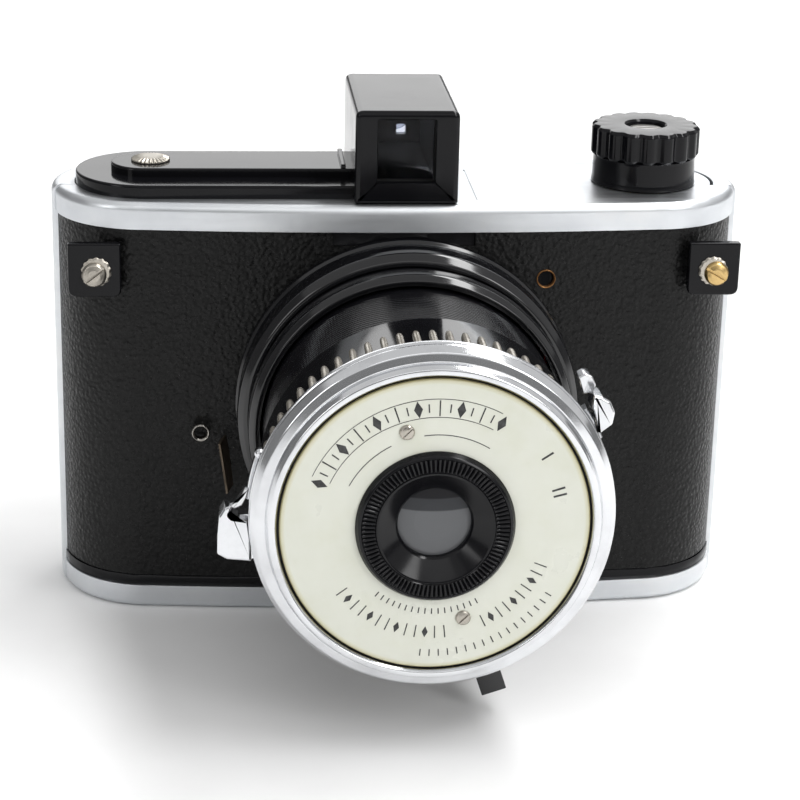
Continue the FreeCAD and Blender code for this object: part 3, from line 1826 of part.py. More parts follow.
def make_catch():
    """Barrel catch: a bracket with two ears, its pin, and a curved leaf."""
    pin_x = D.catch_pin_across
    pin_y = D.catch_pin_depth
    level = D.catch_height
    half = D.catch_tall / 2
    left = pin_x - D.catch_width
    front = pin_y - D.catch_hub
    plate = box(
        "catch_plate",
        (left, D.catch_face, level - half),
        (pin_x - D.catch_hub - D.catch_gap, -OVER, level + half),
    )
    ears = []
    for name, low in (("lower", level - half), ("upper", level + half - D.catch_ear)):
        ears.append(
            box(
                f"catch_ear_{name}",
                (left, front, low),
                (pin_x + D.catch_hub, -OVER, low + D.catch_ear),
            )
        )
    skin = capsule("catch_skin", D.leather_inset, 0, D.body_height)
    reach = half + D.catch_pin_head
    hole = rod(
        "catch_pin_hole",
        D.catch_pin_radius + D.close_fit,
        level - reach,
        level + reach,
        pin_x,
        pin_y,
    )
    keep("catch_bracket", cut(fuse([plate] + ears), [skin, hole]))
    pin = rod(
        "catch_rivet", D.catch_pin_radius, level - reach, level + reach, pin_x, pin_y
    )
    keep("catch_pin", pin)
    hub_half = half - D.catch_ear - D.hole_clearance
    hub = rod(
        "catch_hub", D.catch_hub, level - hub_half, level + hub_half, pin_x, pin_y
    )
    arm = box(
        "catch_arm",
        (pin_x, pin_y - D.catch_arm_gauge / 2, level - D.catch_arm_tall / 2),
        (
            D.axis_across - D.leaf_inner + D.catch_gap,
            pin_y + D.catch_arm_gauge / 2,
            level + D.catch_arm_tall / 2,
        ),
    )
    blade = sector(
        "catch_blade",
        D.leaf_inner,
        D.leaf_inner + D.leaf_gauge,
        D.leaf_start,
        D.leaf_start + D.leaf_length,
        D.leaf_low,
        D.leaf_high,
    )
    inside = disc("catch_inside", D.leaf_inner, -OVER, 2 * OVER)
    bore = rod(
        "catch_bore",
        D.catch_pin_radius + D.pivot_clearance,
        level - reach,
        level + reach,
        pin_x,
        pin_y,
    )
    keep("catch_leaf", cut(fuse([hub, arm, blade]), [inside, bore]))


def check_model():
    """Stops before anything is written if a feature failed or a shape is bad."""
    doc.recompute()
    for obj in doc.Objects:
        if "Invalid" in obj.State or "Error" in obj.State:
            raise SystemExit(f"{obj.Name} is {obj.State}")
    for label, obj in SUBPARTS.items():
        shape = obj.Shape
        if shape.isNull() or not shape.isValid() or not shape.Solids:
            raise SystemExit(f"{label} has no valid shape")


def write_parts():
    """Writes each sub-part to its own file."""
    os.makedirs("parts", exist_ok=True)
    for label, obj in SUBPARTS.items():
        obj.Shape.exportStep(f"parts/{label}.step")


make_body_shell()
make_covering()
make_top_plate()
make_bottom_plate()
make_top_moulding()
make_finder()
make_lugs()
make_flange()
make_barrel()
make_front()
make_shutter()
make_levers()
make_foot()
make_knob()
make_spools()
make_film_path()
make_back()
make_catch()
check_model()
write_parts()
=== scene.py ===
import json
import math

import bmesh
import bpy
from mathutils import Matrix, Vector


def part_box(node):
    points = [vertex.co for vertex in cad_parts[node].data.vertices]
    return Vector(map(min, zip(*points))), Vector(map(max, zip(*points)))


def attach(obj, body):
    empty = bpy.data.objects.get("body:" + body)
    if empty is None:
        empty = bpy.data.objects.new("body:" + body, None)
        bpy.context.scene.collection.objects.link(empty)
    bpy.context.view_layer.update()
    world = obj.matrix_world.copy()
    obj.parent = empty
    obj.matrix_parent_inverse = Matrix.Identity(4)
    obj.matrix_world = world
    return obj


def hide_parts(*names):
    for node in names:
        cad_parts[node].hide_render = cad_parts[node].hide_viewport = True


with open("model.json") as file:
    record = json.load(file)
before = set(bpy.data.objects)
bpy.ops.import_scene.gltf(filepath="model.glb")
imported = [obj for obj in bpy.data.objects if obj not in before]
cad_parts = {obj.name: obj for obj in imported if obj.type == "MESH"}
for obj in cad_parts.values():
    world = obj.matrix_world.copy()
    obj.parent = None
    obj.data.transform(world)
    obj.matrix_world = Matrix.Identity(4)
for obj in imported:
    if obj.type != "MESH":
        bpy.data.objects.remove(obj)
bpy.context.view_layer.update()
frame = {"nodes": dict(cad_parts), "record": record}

# Lengths are in millimetres until MM turns them into Blender's metres. Stations, called
# ahead, run forward along the optical axis from the front of the body's round ends.
MM = 0.001
nodes = frame["nodes"]


def node_mm(name):
    """A CAD node's lowest and highest corners in millimetres."""
    low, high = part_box(name)
    return low / MM, high / MM


def middle(name):
    """The centre of a CAD node's box in millimetres."""
    low, high = node_mm(name)
    return (low + high) / 2


leather_low, leather_high = node_mm("front_leatherette")
plate_low, plate_high = node_mm("top_plate")
END_RADIUS = 15.54
BOW = 2.0
HALF_WIDTH = (plate_high.x - plate_low.x) / 2
AXIS = middle("barrel_tube")
FACE_Y = -END_RADIUS


# ---------------------------------------------------------------- materials


def new_material(name):
    """A material with its node tree and its shader."""
    material = bpy.data.materials.new(name)
    material.use_nodes = True
    tree = material.node_tree
    return material, tree, tree.nodes["Principled BSDF"]


def add(tree, kind, **settings):
    """A node with its settings given by name."""
    node = tree.nodes.new(kind)
    for key, value in settings.items():
        setattr(node, key, value)
    return node


def object_coordinates(tree, stretch=(1, 1, 1)):
    """The piece's own coordinates, stretched along its axes."""
    coordinates = add(tree, "ShaderNodeTexCoord")
    mapping = add(tree, "ShaderNodeMapping")
    mapping.inputs["Scale"].default_value = stretch
    tree.links.new(coordinates.outputs["Object"], mapping.inputs["Vector"])
    return mapping.outputs["Vector"]


def noise(tree, scale, detail=4.0, roughness=0.55, stretch=(1, 1, 1)):
    """A noise field over the piece's own coordinates."""
    texture = add(tree, "ShaderNodeTexNoise")
    texture.inputs["Scale"].default_value = scale
    texture.inputs["Detail"].default_value = detail
    texture.inputs["Roughness"].default_value = roughness
    tree.links.new(object_coordinates(tree, stretch), texture.inputs["Vector"])
    return texture.outputs["Fac"]


def cells(tree, scale, feature="F1", stretch=(1, 1, 1)):
    """A Voronoi field over the piece's own coordinates."""
    texture = add(tree, "ShaderNodeTexVoronoi", feature=feature)
    texture.inputs["Scale"].default_value = scale
    tree.links.new(object_coordinates(tree, stretch), texture.inputs["Vector"])
    return texture.outputs["Distance"]


def ramp(tree, value, stops):
    """A colour ramp through (position, colour) stops; a plain number is a grey."""
    node = add(tree, "ShaderNodeValToRGB")
    elements = node.color_ramp.elements
    while len(elements) < len(stops):
        elements.new(0.5)
    for element, (position, colour) in zip(elements, stops):
        if not isinstance(colour, tuple):
            colour = (colour, colour, colour)
        element.position = position
        element.color = (*colour, 1.0)
    tree.links.new(value, node.inputs["Fac"])
    return node.outputs["Color"]


def bump(tree, shader, height, strength, distance, below=None):
    """Adds a bump to the shader's normal, on top of one that is there already."""
    node = add(tree, "ShaderNodeBump")
    node.inputs["Strength"].default_value = strength
    node.inputs["Distance"].default_value = distance * MM
    tree.links.new(height, node.inputs["Height"])
    if below is not None:
        tree.links.new(below, node.inputs["Normal"])
    tree.links.new(node.outputs["Normal"], shader.inputs["Normal"])
    return node.outputs["Normal"]


def leatherette():
    """Black grained cloth: small uneven pebbles with a painted dull sheen on their tops and painted
    shade in the valleys between them.
    """
    material, tree, shader = new_material("leatherette")
    pebbles = cells(tree, 1500, "SMOOTH_F1")
    fine = noise(tree, 2600, 3)
    # Painted sheen and painted shade: the colour is lightest at each pebble's top and darkest in the
    # valleys between pebbles.
    colour = ramp(tree, pebbles, [(0.0, 0.009), (0.5, 0.004), (1.0, 0.001)])
    tree.links.new(colour, shader.inputs["Base Color"])
    gloss = ramp(tree, fine, [(0.38, 0.24), (0.62, 0.46)])
    tree.links.new(gloss, shader.inputs["Roughness"])
    shader.inputs["Specular IOR Level"].default_value = 0.2
    grain = bump(tree, shader, pebbles, 0.7, -0.24)
    bump(tree, shader, fine, 0.3, 0.08, grain)
    return material


def gloss_black(name, roughness=0.1, ripple_depth=0.06, specular=0.45):
    """Shiny black moulding or enamel, with faint ripple, dust and rubbed patches."""
    material, tree, shader = new_material(name)
    ripple = noise(tree, 160, 2)
    dust = noise(tree, 3200, 2, 0.7)
    wear = noise(tree, 70, 5, 0.65)
    clean = (0.004, 0.004, 0.005)
    colour = ramp(tree, dust, [(0.0, clean), (0.72, clean), (0.82, (0.02, 0.02, 0.02))])
    tree.links.new(colour, shader.inputs["Base Color"])
    gloss = ramp(tree, wear, [(0.35, roughness), (0.62, roughness * 1.5), (0.8, roughness * 2.4)])
    tree.links.new(gloss, shader.inputs["Roughness"])
    shader.inputs["Specular IOR Level"].default_value = specular
    bump(tree, shader, ripple, ripple_depth, 0.1)
    return material


def worn_rib():
    """The grip's ribs: black enamel rubbed to warm grey metal along their crests."""
    material, tree, shader = new_material("worn_enamel")
    rubbed = noise(tree, 420, 4, 0.6)
    colour = ramp(tree, rubbed, [(0.3, (0.2, 0.18, 0.15)), (0.6, (0.42, 0.39, 0.34))])
    tree.links.new(colour, shader.inputs["Base Color"])
    gloss = ramp(tree, rubbed, [(0.35, 0.34), (0.65, 0.22)])
    tree.links.new(gloss, shader.inputs["Roughness"])
    shader.inputs["Metallic"].default_value = 0.6
    bump(tree, shader, rubbed, 0.12, 0.05)
    return material


def bright_metal():
    """Brushed aluminium: fine lines along the body and faint handling marks."""
    material, tree, shader = new_material("bright_metal")
    shader.inputs["Metallic"].default_value = 1.0
    lines = noise(tree, 900, 3, 0.6, (0.03, 1, 1))
    stains = noise(tree, 60, 5, 0.6)
    colour = ramp(tree, stains, [(0.25, (0.62, 0.64, 0.67)), (0.55, (0.7, 0.72, 0.74)), (0.8, 0.76)])
    tree.links.new(colour, shader.inputs["Base Color"])
    gloss = ramp(tree, lines, [(0.3, 0.34), (0.7, 0.46)])
    tree.links.new(gloss, shader.inputs["Roughness"])
    bump(tree, shader, lines, 0.12, 0.03)
    return material


def polished_metal(name, tint, roughness):
    """Plated or polished metal with smudges and hairline marks."""
    material, tree, shader = new_material(name)
    shader.inputs["Metallic"].default_value = 1.0
    smudge = noise(tree, 90, 5, 0.6)
    pits = noise(tree, 1900, 2, 0.6)
    shade = tuple(channel * 0.8 for channel in tint)
    colour = ramp(tree, smudge, [(0.3, shade), (0.55, tint)])
    tree.links.new(colour, shader.inputs["Base Color"])
    gloss = ramp(tree, smudge, [(0.35, roughness * 1.8), (0.65, roughness)])
    tree.links.new(gloss, shader.inputs["Roughness"])
    bump(tree, shader, pits, 0.06, 0.03)
    return material


def share_of_reach(tree, across, up, nearest, farthest):
    """0 to 1 as the distance from a fore-and-aft line goes from nearest to farthest."""
    centred = add(tree, "ShaderNodeMapping")
    centred.inputs["Location"].default_value = (-across * MM, 0, -up * MM)
    tree.links.new(object_coordinates(tree), centred.inputs["Vector"])
    flat = add(tree, "ShaderNodeVectorMath", operation="MULTIPLY")
    flat.inputs[1].default_value = (1, 0, 1)
    tree.links.new(centred.outputs["Vector"], flat.inputs[0])
    reach = add(tree, "ShaderNodeVectorMath", operation="LENGTH")
    tree.links.new(flat.outputs["Vector"], reach.inputs[0])
    share = add(tree, "ShaderNodeMapRange")
    share.inputs["From Min"].default_value = nearest * MM
    share.inputs["From Max"].default_value = farthest * MM
    tree.links.new(reach.outputs["Value"], share.inputs["Value"])
    return share.outputs["Result"]


def cream_enamel():
    """Ivory enamel, a little blotched, and yellower and browner towards both its edges."""
    material, tree, shader = new_material("cream_enamel")
    blotch = noise(tree, 130, 5, 0.6)
    specks = noise(tree, 1500, 2, 0.6)
    stops = [(0.25, (0.62, 0.63, 0.53)), (0.5, (0.65, 0.66, 0.58)), (0.8, (0.67, 0.68, 0.61))]
    ivory = ramp(tree, blotch, stops)
    lens_edge = 10.0
    bezel_edge = 22.8
    clean = (1.0, 1.0, 1.0)
    yellow = (0.72, 0.68, 0.5)
    pale = (0.88, 0.84, 0.68)
    edge_brown = (0.5, 0.43, 0.24)
    # Tinted yellower towards the lens ring and browner towards the bezel, where the plate meets both.
    edge_tint = ramp(tree, share_of_reach(tree, AXIS.x, AXIS.z, lens_edge, bezel_edge), [
        (0.0, yellow), (0.16, clean), (0.94, clean), (0.98, pale), (1.0, edge_brown),
    ])
    edge_tinted = add(tree, "ShaderNodeMix", data_type="RGBA", blend_type="MULTIPLY")
    edge_tinted.inputs["Factor"].default_value = 1.0
    tree.links.new(ivory, edge_tinted.inputs["A"])
    tree.links.new(edge_tint, edge_tinted.inputs["B"])
    tree.links.new(edge_tinted.outputs["Result"], shader.inputs["Base Color"])
    gloss = ramp(tree, blotch, [(0.3, 0.36), (0.7, 0.26)])
    tree.links.new(gloss, shader.inputs["Roughness"])
    shader.inputs["Coat Weight"].default_value = 0.2
    shader.inputs["Coat Roughness"].default_value = 0.2
    bump(tree, shader, specks, 0.05, 0.03)
    return material


def engraving():
    """The black paint of the marks on the front plate."""
    material, tree, shader = new_material("engraving")
    spots = noise(tree, 1400, 3)
    colour = ramp(tree, spots, [(0.35, 0.012), (0.7, 0.05)])
    tree.links.new(colour, shader.inputs["Base Color"])
    shader.inputs["Roughness"].default_value = 0.45
    return material


def dull_black():
    """Matt black paint of the inner parts."""
    material, tree, shader = new_material("dull_black")
    spots = noise(tree, 900, 4)
    tree.links.new(ramp(tree, spots, [(0.3, 0.006), (0.7, 0.016)]), shader.inputs["Base Color"])
    shader.inputs["Roughness"].default_value = 0.6
    shader.inputs["Specular IOR Level"].default_value = 0.25
    bump(tree, shader, spots, 0.2, 0.05)
    return material


def glass_with_painted_shade():
    """Opaque dark glass with painted light and painted shadow: a grey lower part stands in for the lit
    shutter behind it, and a dark band and a black top above it stand in for the shadow of the ring's
    upper rim, with shallow arcs between them.
    """
    material, tree, shader = new_material("lens_glass")
    haze = noise(tree, 300, 3)
    shadow_arc_centre = AXIS.z + 36.0
    share = share_of_reach(tree, AXIS.x, shadow_arc_centre, 30.5, 40.5)
    # Painted shadow: black over the top and a dark band below it, the ring rim's shadow on the
    # shutter. Painted light: the grey below, the lit shutter seen through the glass.
    black = (0.006, 0.006, 0.008)
    dark = (0.036, 0.038, 0.042)
    grey = (0.125, 0.128, 0.134)
    stops = [(0.0, black), (0.18, black), (0.2, dark), (0.37, dark), (0.39, grey), (1.0, grey)]
    tree.links.new(ramp(tree, share, stops), shader.inputs["Base Color"])
    gloss = ramp(tree, haze, [(0.3, 0.06), (0.7, 0.1)])
    tree.links.new(gloss, shader.inputs["Roughness"])
    shader.inputs["Specular IOR Level"].default_value = 0.2
    return material


def glass(name, tint, roughness=0.01, ior=1.5):
    """Clear glass with a faint tint."""
    material, tree, shader = new_material(name)
    haze = noise(tree, 300, 3)
    gloss = ramp(tree, haze, [(0.3, roughness), (0.7, roughness + 0.03)])
    tree.links.new(gloss, shader.inputs["Roughness"])
    shader.inputs["Base Color"].default_value = (*tint, 1)
    shader.inputs["Transmission Weight"].default_value = 1.0
    shader.inputs["IOR"].default_value = ior
    return material


MATERIALS = {
    "black_moulding": gloss_black("black_moulding", specular=0.2),
    "leatherette": leatherette(),
    "bright_metal": bright_metal(),
    "black_enamel": gloss_black("black_enamel", 0.09, specular=0.6),
    "ring_enamel": gloss_black("ring_enamel", 0.12, specular=0.25),
    "worn_enamel": worn_rib(),
    "dull_black": dull_black(),
    "chrome": polished_metal("chrome", (0.72, 0.73, 0.75), 0.1),
    "cream_enamel": cream_enamel(),
    "engraving": engraving(),
    "nickel": polished_metal("nickel", (0.45, 0.42, 0.37), 0.25),
    "plain_steel": polished_metal("plain_steel", (0.5, 0.49, 0.47), 0.3),
    "brass": polished_metal("brass", (0.6, 0.42, 0.18), 0.28),
    "aged_brass": polished_metal("aged_brass", (0.2, 0.16, 0.12), 0.32),
    "brown_brass": polished_metal("brown_brass", (0.3, 0.15, 0.06), 0.35),
    "dark_chrome": polished_metal("dark_chrome", (0.42, 0.4, 0.37), 0.14),
    "clear_glass": glass("clear_glass", (0.55, 0.58, 0.66), 0.01, 1.2),
    "lens_glass": glass_with_painted_shade(),
    "red_film": glass("red_film", (0.65, 0.02, 0.015), 0.1),
    "spool_paint": gloss_black("spool_paint", 0.3),
}
SLOT_OF = {part["node"]: part["material_slot"] for part in frame["record"]["subparts"]}


def finish_cad_node(name, round_edges=0.15):
    """Gives a CAD node its material and soft edges."""
    piece = nodes[name]
    piece.data.materials.clear()
    piece.data.materials.append(MATERIALS[SLOT_OF[name]])
    weld = piece.modifiers.new("weld", "WELD")
    weld.merge_threshold = 0.002 * MM
    soft = piece.modifiers.new("soft_edges", "BEVEL")
    soft.width = round_edges * MM
    soft.segments = 2
    soft.limit_method = "ANGLE"
    soft.angle_limit = math.radians(35)
    soft.harden_normals = True
    for face in piece.data.polygons:
        face.use_smooth = True


for name in nodes:
    finish_cad_node(name)


# ---------------------------------------------------------------- mesh tools


made = []


def make_piece(name, points, faces, body, slot, replaced=(), sharp=32, material=None):
    """A closed mesh from points in millimetres, riding on a body."""
    mesh = bpy.data.meshes.new(name)
    mesh.from_pydata([Vector(point) * MM for point in points], [], faces)
    shape = bmesh.new()
    shape.from_mesh(mesh)
    bmesh.ops.remove_doubles(shape, verts=shape.verts, dist=0.0005 * MM)
    bmesh.ops.recalc_face_normals(shape, faces=shape.faces)
    shape.to_mesh(mesh)
    shape.free()
    for face in mesh.polygons:
        face.use_smooth = True
    mesh.set_sharp_from_angle(angle=math.radians(sharp))
    mesh.materials.append(MATERIALS[material or slot])
    piece = bpy.data.objects.new(name, mesh)
    bpy.context.scene.collection.objects.link(piece)
    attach(piece, body)
    if replaced:
        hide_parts(*replaced)
    made.append(piece)
    return piece


def soften(corners, steps=5):
    """A closed outline with rounded corners, each given as (x, y, radius)."""
    outline = []
    count = len(corners)
    for index, (x, y, radius) in enumerate(corners):
        here = Vector((x, y))
        if radius == 0:
            outline.append(here)
            continue
        back = Vector(corners[index - 1][:2]) - here
        onward = Vector(corners[(index + 1) % count][:2]) - here
        half = back.angle(onward) / 2
        reach = min(radius / math.tan(half), back.length * 0.48, onward.length * 0.48)
        start = here + back.normalized() * reach
        end = here + onward.normalized() * reach
        for step in range(steps + 1):
            t = step / steps
            outline.append(start * (1 - t) ** 2 + here * 2 * t * (1 - t) + end * t ** 2)
    return outline


def fore_and_aft(x, z):
    """A function that gives points round an axis that runs forward through (x, z)."""
    def spot(radius, angle, ahead):
        return (x + radius * math.cos(angle), FACE_Y - ahead, z + radius * math.sin(angle))
    return spot


def upright(x, y):
    """A function that gives points round a vertical axis through (x, y)."""
    def spot(radius, angle, height):
        return (x + radius * math.cos(angle), y + radius * math.sin(angle), height)
    return spot


on_lens = fore_and_aft(AXIS.x, AXIS.z)


def swept_ring(outline, spot, sides, shape=None):
    """Points and faces of an outline turned about an axis.

    shape may change each point's radius with the angle, which makes ribs."""
    points = []
    faces = []
    count = len(outline)
    for side in range(sides):
        angle = 2 * math.pi * side / sides
        for index, (radius, along) in enumerate(outline):
            if shape is not None:
                radius, along = shape(angle, index, radius, along)
            points.append(spot(radius, angle, along))
        for index in range(count):
            beside = (index + 1) % count
            onward = (side + 1) % sides
            first = side * count
            second = onward * count
            faces.append((first + index, first + beside, second + beside, second + index))
    return points, faces


def turned(name, corners, spot, body, slot, replaced=(), sides=160, shape=None, **more):
    """A turned piece from the corners of its closed outline."""
    points, faces = swept_ring(soften(corners), spot, sides, shape)
    return make_piece(name, points, faces, body, slot, replaced, **more)


def gathered(parts):
    """Several (points, faces) joined into one."""
    points = []
    faces = []
    for more_points, more_faces in parts:
        offset = len(points)
        points.extend(more_points)
        faces.extend(tuple(number + offset for number in face) for face in more_faces)
    return points, faces


def loft(rings):
    """Points and faces through closed rings of equal length, capped at both ends."""
    count = len(rings[0])
    points = [point for ring in rings for point in ring]
    faces = [tuple(range(count)), tuple(range((len(rings) - 1) * count, len(rings) * count))]
    for level in range(len(rings) - 1):
        low = level * count
        high = low + count
        for index in range(count):
            beside = (index + 1) % count
            faces.append((low + index, low + beside, high + beside, high + index))
    return points, faces


def looped(rings):
    """Points and faces through closed rings, the last of which joins the first."""
    points, faces = loft(rings + [rings[0]])
    count = len(rings[0]) * len(rings)
    return points[:count], [tuple(number % count for number in face) for face in faces[2:]]


def drill(spot, radius, first, last, sides):
    """Points and faces of a round cutter between two stations."""
    turns = [2 * math.pi * side / sides for side in range(sides)]
    return loft([[spot(radius, turn, along) for turn in turns] for along in (first, last)])


def inward(outline, distance):
    """A closed outline moved inward along its corners' normals."""
    count = len(outline)
    area = sum(
        outline[i].x * outline[(i + 1) % count].y - outline[(i + 1) % count].x * outline[i].y
        for i in range(count)
    )
    side = 1 if area > 0 else -1
    moved = []
    for index, here in enumerate(outline):
        back = (here - outline[index - 1]).normalized()
        onward = (outline[(index + 1) % count] - here).normalized()
        along = (back + onward).normalized()
        normal = Vector((-along.y, along.x)) * side
        moved.append(here + normal * distance)
    return moved


def slab(outline, spot, low, high, edge=0.0, low_edge=0.0, steps=4):
    """A plate from a flat outline, with its upper and lower edges rounded."""
    rings = []
    if low_edge:
        for step in range(steps):
            turn = math.pi / 2 * step / steps
            inset = low_edge * (1 - math.sin(turn))
            level = low + low_edge * (1 - math.cos(turn))
            rings.append([spot(point, level) for point in inward(outline, inset)])
    rings.append([spot(point, low + low_edge) for point in outline])
    rings.append([spot(point, high - edge) for point in outline])
    for step in range(1, steps + 1):
        if not edge:
            break
        turn = math.pi / 2 * step / steps
        inset = edge * (1 - math.cos(turn))
        level = high - edge * (1 - math.sin(turn))
        rings.append([spot(point, level) for point in inward(outline, inset)])
    return loft(rings)


def facing_front(point, ahead):
    """A point of an outline drawn in x and z, at a station."""
    return (point.x, FACE_Y - ahead, point.y)


def flat_on_top(point, height):
    """A point of an outline drawn in x and y, at a height."""
    return (point.x, point.y, height)


def carve(piece, points, faces):
    """Takes a closed cutter, given in millimetres, out of a piece."""
    mesh = bpy.data.meshes.new("cutter")
    mesh.from_pydata([Vector(point) * MM for point in points], [], faces)
    shape = bmesh.new()
    shape.from_mesh(mesh)
    bmesh.ops.recalc_face_normals(shape, faces=shape.faces)
    shape.to_mesh(mesh)
    shape.free()
    cutter = bpy.data.objects.new("cutter", mesh)
    bpy.context.scene.collection.objects.link(cutter)
    cutting = piece.modifiers.new("cut", "BOOLEAN")
    cutting.object = cutter
    cutting.solver = "EXACT"
    bpy.context.view_layer.update()
    graph = bpy.context.evaluated_depsgraph_get()
    result = bpy.data.meshes.new_from_object(piece.evaluated_get(graph))
    piece.modifiers.clear()
    result.set_sharp_from_angle(angle=math.radians(32))
    piece.data = result
    bpy.data.objects.remove(cutter)


def flatten_shading():
    """Lets the large faces of every new piece decide the shading at their edges."""
    for piece in made:
        weighted = piece.modifiers.new("flat_faces", "WEIGHTED_NORMAL")
        weighted.keep_sharp = True
        weighted.weight = 100


# ---------------------------------------------------------------- barrel


RIBS = 66
FLUTES = 96


def make_flange():
    """The stepped ring on the front wall and the taller collar inside it."""
    bore = 24.6
    turned("flange_rings", [
        (bore, 0.4, 0), (27.9, 0.4, 0), (27.9, 1.75, 0), (28.4, 1.8, 0.15), (28.4, 2.8, 0.4),
        (27.9, 3.3, 0.3), (27.9, 6.6, 0.5), (28.15, 7.4, 0.3), (28.15, 9.1, 1.1), (27.0, 10.4, 0.8),
        (26.2, 10.4, 0.2), (26.0, 9.9, 0.2), (bore, 9.9, 0),
    ], on_lens, "root", "black_enamel", ("lens_flange",), sides=200)
    turned("collar_ring", [
        (24.65, 10.0, 0), (25.75, 10.0, 0), (26.1, 10.9, 0.5), (26.1, 12.2, 0.3), (26.45, 12.7, 0.3),
        (26.45, 15.4, 0.9), (25.6, 16.4, 0.5), (25.2, 16.4, 0.15), (25.1, 15.9, 0.15),
        (24.65, 15.9, 0),
    ], on_lens, "root", "black_enamel", ("flange_collar",), sides=200)


def make_tube():
    """The sliding tube, with the fine many-start thread that screws it out."""
    outer = 24.2
    inner = 22.6
    back = 3.0
    front = 36.0
    plain = 0.2
    pitch = 0.9
    depth = 0.16
    lead = 40.0
    starts = round(lead / pitch)
    outline = [(inner, back), (outer - depth, back)]
    along = back + plain
    while along < front - plain:
        outline.append((outer, along))
        along += pitch / 6
    outline += [(outer - depth, front), (inner, front)]
    crest = {index for index, (radius, _) in enumerate(outline) if radius == outer}

    def thread(angle, index, radius, ahead):
        if index not in crest:
            return radius, ahead
        phase = 2 * math.pi * ahead / pitch + starts * angle
        return radius - depth * max(0.0, math.sin(phase)) ** 3, ahead

    points, faces = swept_ring([Vector(point) for point in outline], on_lens, 264, thread)
    make_piece("threaded_tube", points, faces, "barrel", "black_enamel", ("barrel_tube",), sharp=60)


def make_housing():
    """The glossy drum of the shutter, bevelled at its rear edge."""
    turned("shutter_drum", [
        (22.7, 34.3, 0), (25.05, 34.3, 0.15), (25.5, 34.8, 0.4), (25.5, 42.0, 0), (25.5, 49.9, 0.2),
        (23.5, 50.0, 0), (23.5, 40.2, 0), (22.7, 40.2, 0),
    ], on_lens, "barrel", "black_enamel", ("shutter_housing",), sides=200)


def make_grip():
    """Slender round-nosed ribs laid along the drum behind the bezel."""
    rib_parts = []
    back = 41.4
    front = 50.0
    foot = 25.3
    drum = 25.5
    half = 0.56
    crest = 0.72
    steps = 16
    corners = 12
    for number in range(RIBS):
        angle = 2 * math.pi * (number + 0.5) / RIBS
        rings = []
        for step in range(steps + 1):
            share = step / steps
            nose = math.sin(math.pi / 2 * min(1.0, (share + 0.015) / 0.25)) ** 0.6
            ahead = back + (front - back) * share
            ring = []
            for corner in range(corners + 1):
                turn = math.pi * corner / corners
                side = half * nose * math.cos(turn)
                rise = drum + crest * nose * math.sin(turn) ** 0.8
                if corner in (0, corners):
                    rise = foot
                ring.append(on_lens(rise, angle + side / drum, ahead))
            rings.append(ring)
        rib_parts.append(loft(rings))
    points, faces = gathered(rib_parts)
    make_piece("grip_ribs", points, faces, "barrel", "worn_enamel", ("grip_ring",), sharp=50)


def make_bezel():
    """The plated front rim: rear bead, groove, broad band and bright inner lip."""
    turned("bezel_rim", [
        (25.55, 50.1, 0), (26.9, 50.1, 0.35), (27.25, 50.6, 0.3), (27.2, 51.15, 0.2),
        (26.95, 51.35, 0.1), (27.05, 51.6, 0.1), (27.1, 52.2, 0.5), (26.3, 53.4, 0.7),
        (25.1, 53.75, 0.15), (24.9, 53.75, 0.1), (24.75, 54.4, 0.4), (24.35, 55.25, 0.4),
        (23.55, 55.3, 0.3), (23.2, 54.8, 0.2), (23.2, 52.6, 0), (25.4, 52.6, 0),
    ], on_lens, "barrel", "chrome", ("bezel",), sides=220)


def make_lens_ring():
    """The black ring round the lens: fluted face, polished cone down to the glass."""
    corners = [
        (8.6, 45.2, 0), (8.6, 54.4, 0), (11.75, 54.4, 0), (11.8, 55.1, 0.25), (11.35, 55.85, 0.4),
        (10.95, 56.08, 0.1),
    ]
    outer = soften(corners)
    first = len(outer)
    face = 56.08
    depth = 0.34
    flute_radii = [10.85, 10.7, 10.3, 9.9, 9.5, 9.1, 8.95]
    outline = outer + [Vector((radius, face)) for radius in flute_radii]
    last = len(outline)
    outline += soften([
        (8.8, face, 0.15), (8.45, 55.95, 0.25), (5.75, 53.95, 0.2), (5.45, 53.6, 0.1), (5.45, 52.6, 0),
        (7.5, 52.5, 0), (7.5, 45.2, 0),
    ])

    def flute(angle, index, radius, ahead):
        if first < index < last - 1:
            wave = 0.5 + 0.5 * math.cos(FLUTES * angle)
            return radius, ahead - depth * wave ** 1.5
        return radius, ahead

    points, faces = swept_ring(outline, on_lens, FLUTES * 6, flute)
    make_piece("fluted_ring", points, faces, "barrel", "black_enamel", ("lens_ring",), sharp=50,
               material="ring_enamel")


def make_front_lens():
    """The front lens, whose colour carries painted light and painted shadow in place of the shutter
    seen behind it.
    """
    turned("front_glass", [
        (0.02, 47.0, 0), (7.2, 47.0, 0), (7.2, 52.3, 0), (5.4, 52.9, 0.1), (3.0, 53.2, 1.0),
        (0.02, 53.25, 0),
    ], on_lens, "barrel", "lens_glass", ("front_lens",), sides=120)


make_flange()
make_tube()
make_housing()
make_grip()
make_bezel()
make_lens_ring()
make_front_lens()


# ---------------------------------------------------------------- end plates


SEAM_Y = -3.4
CENTRE = HALF_WIDTH - END_RADIUS
EDGE = 1.4
CAP_GAUGE = 0.9
REAR_INSET = 4.05
STUD_PLACE = (-41.4, -1.1)
KNOB_PLACE = (42.0, -0.7)


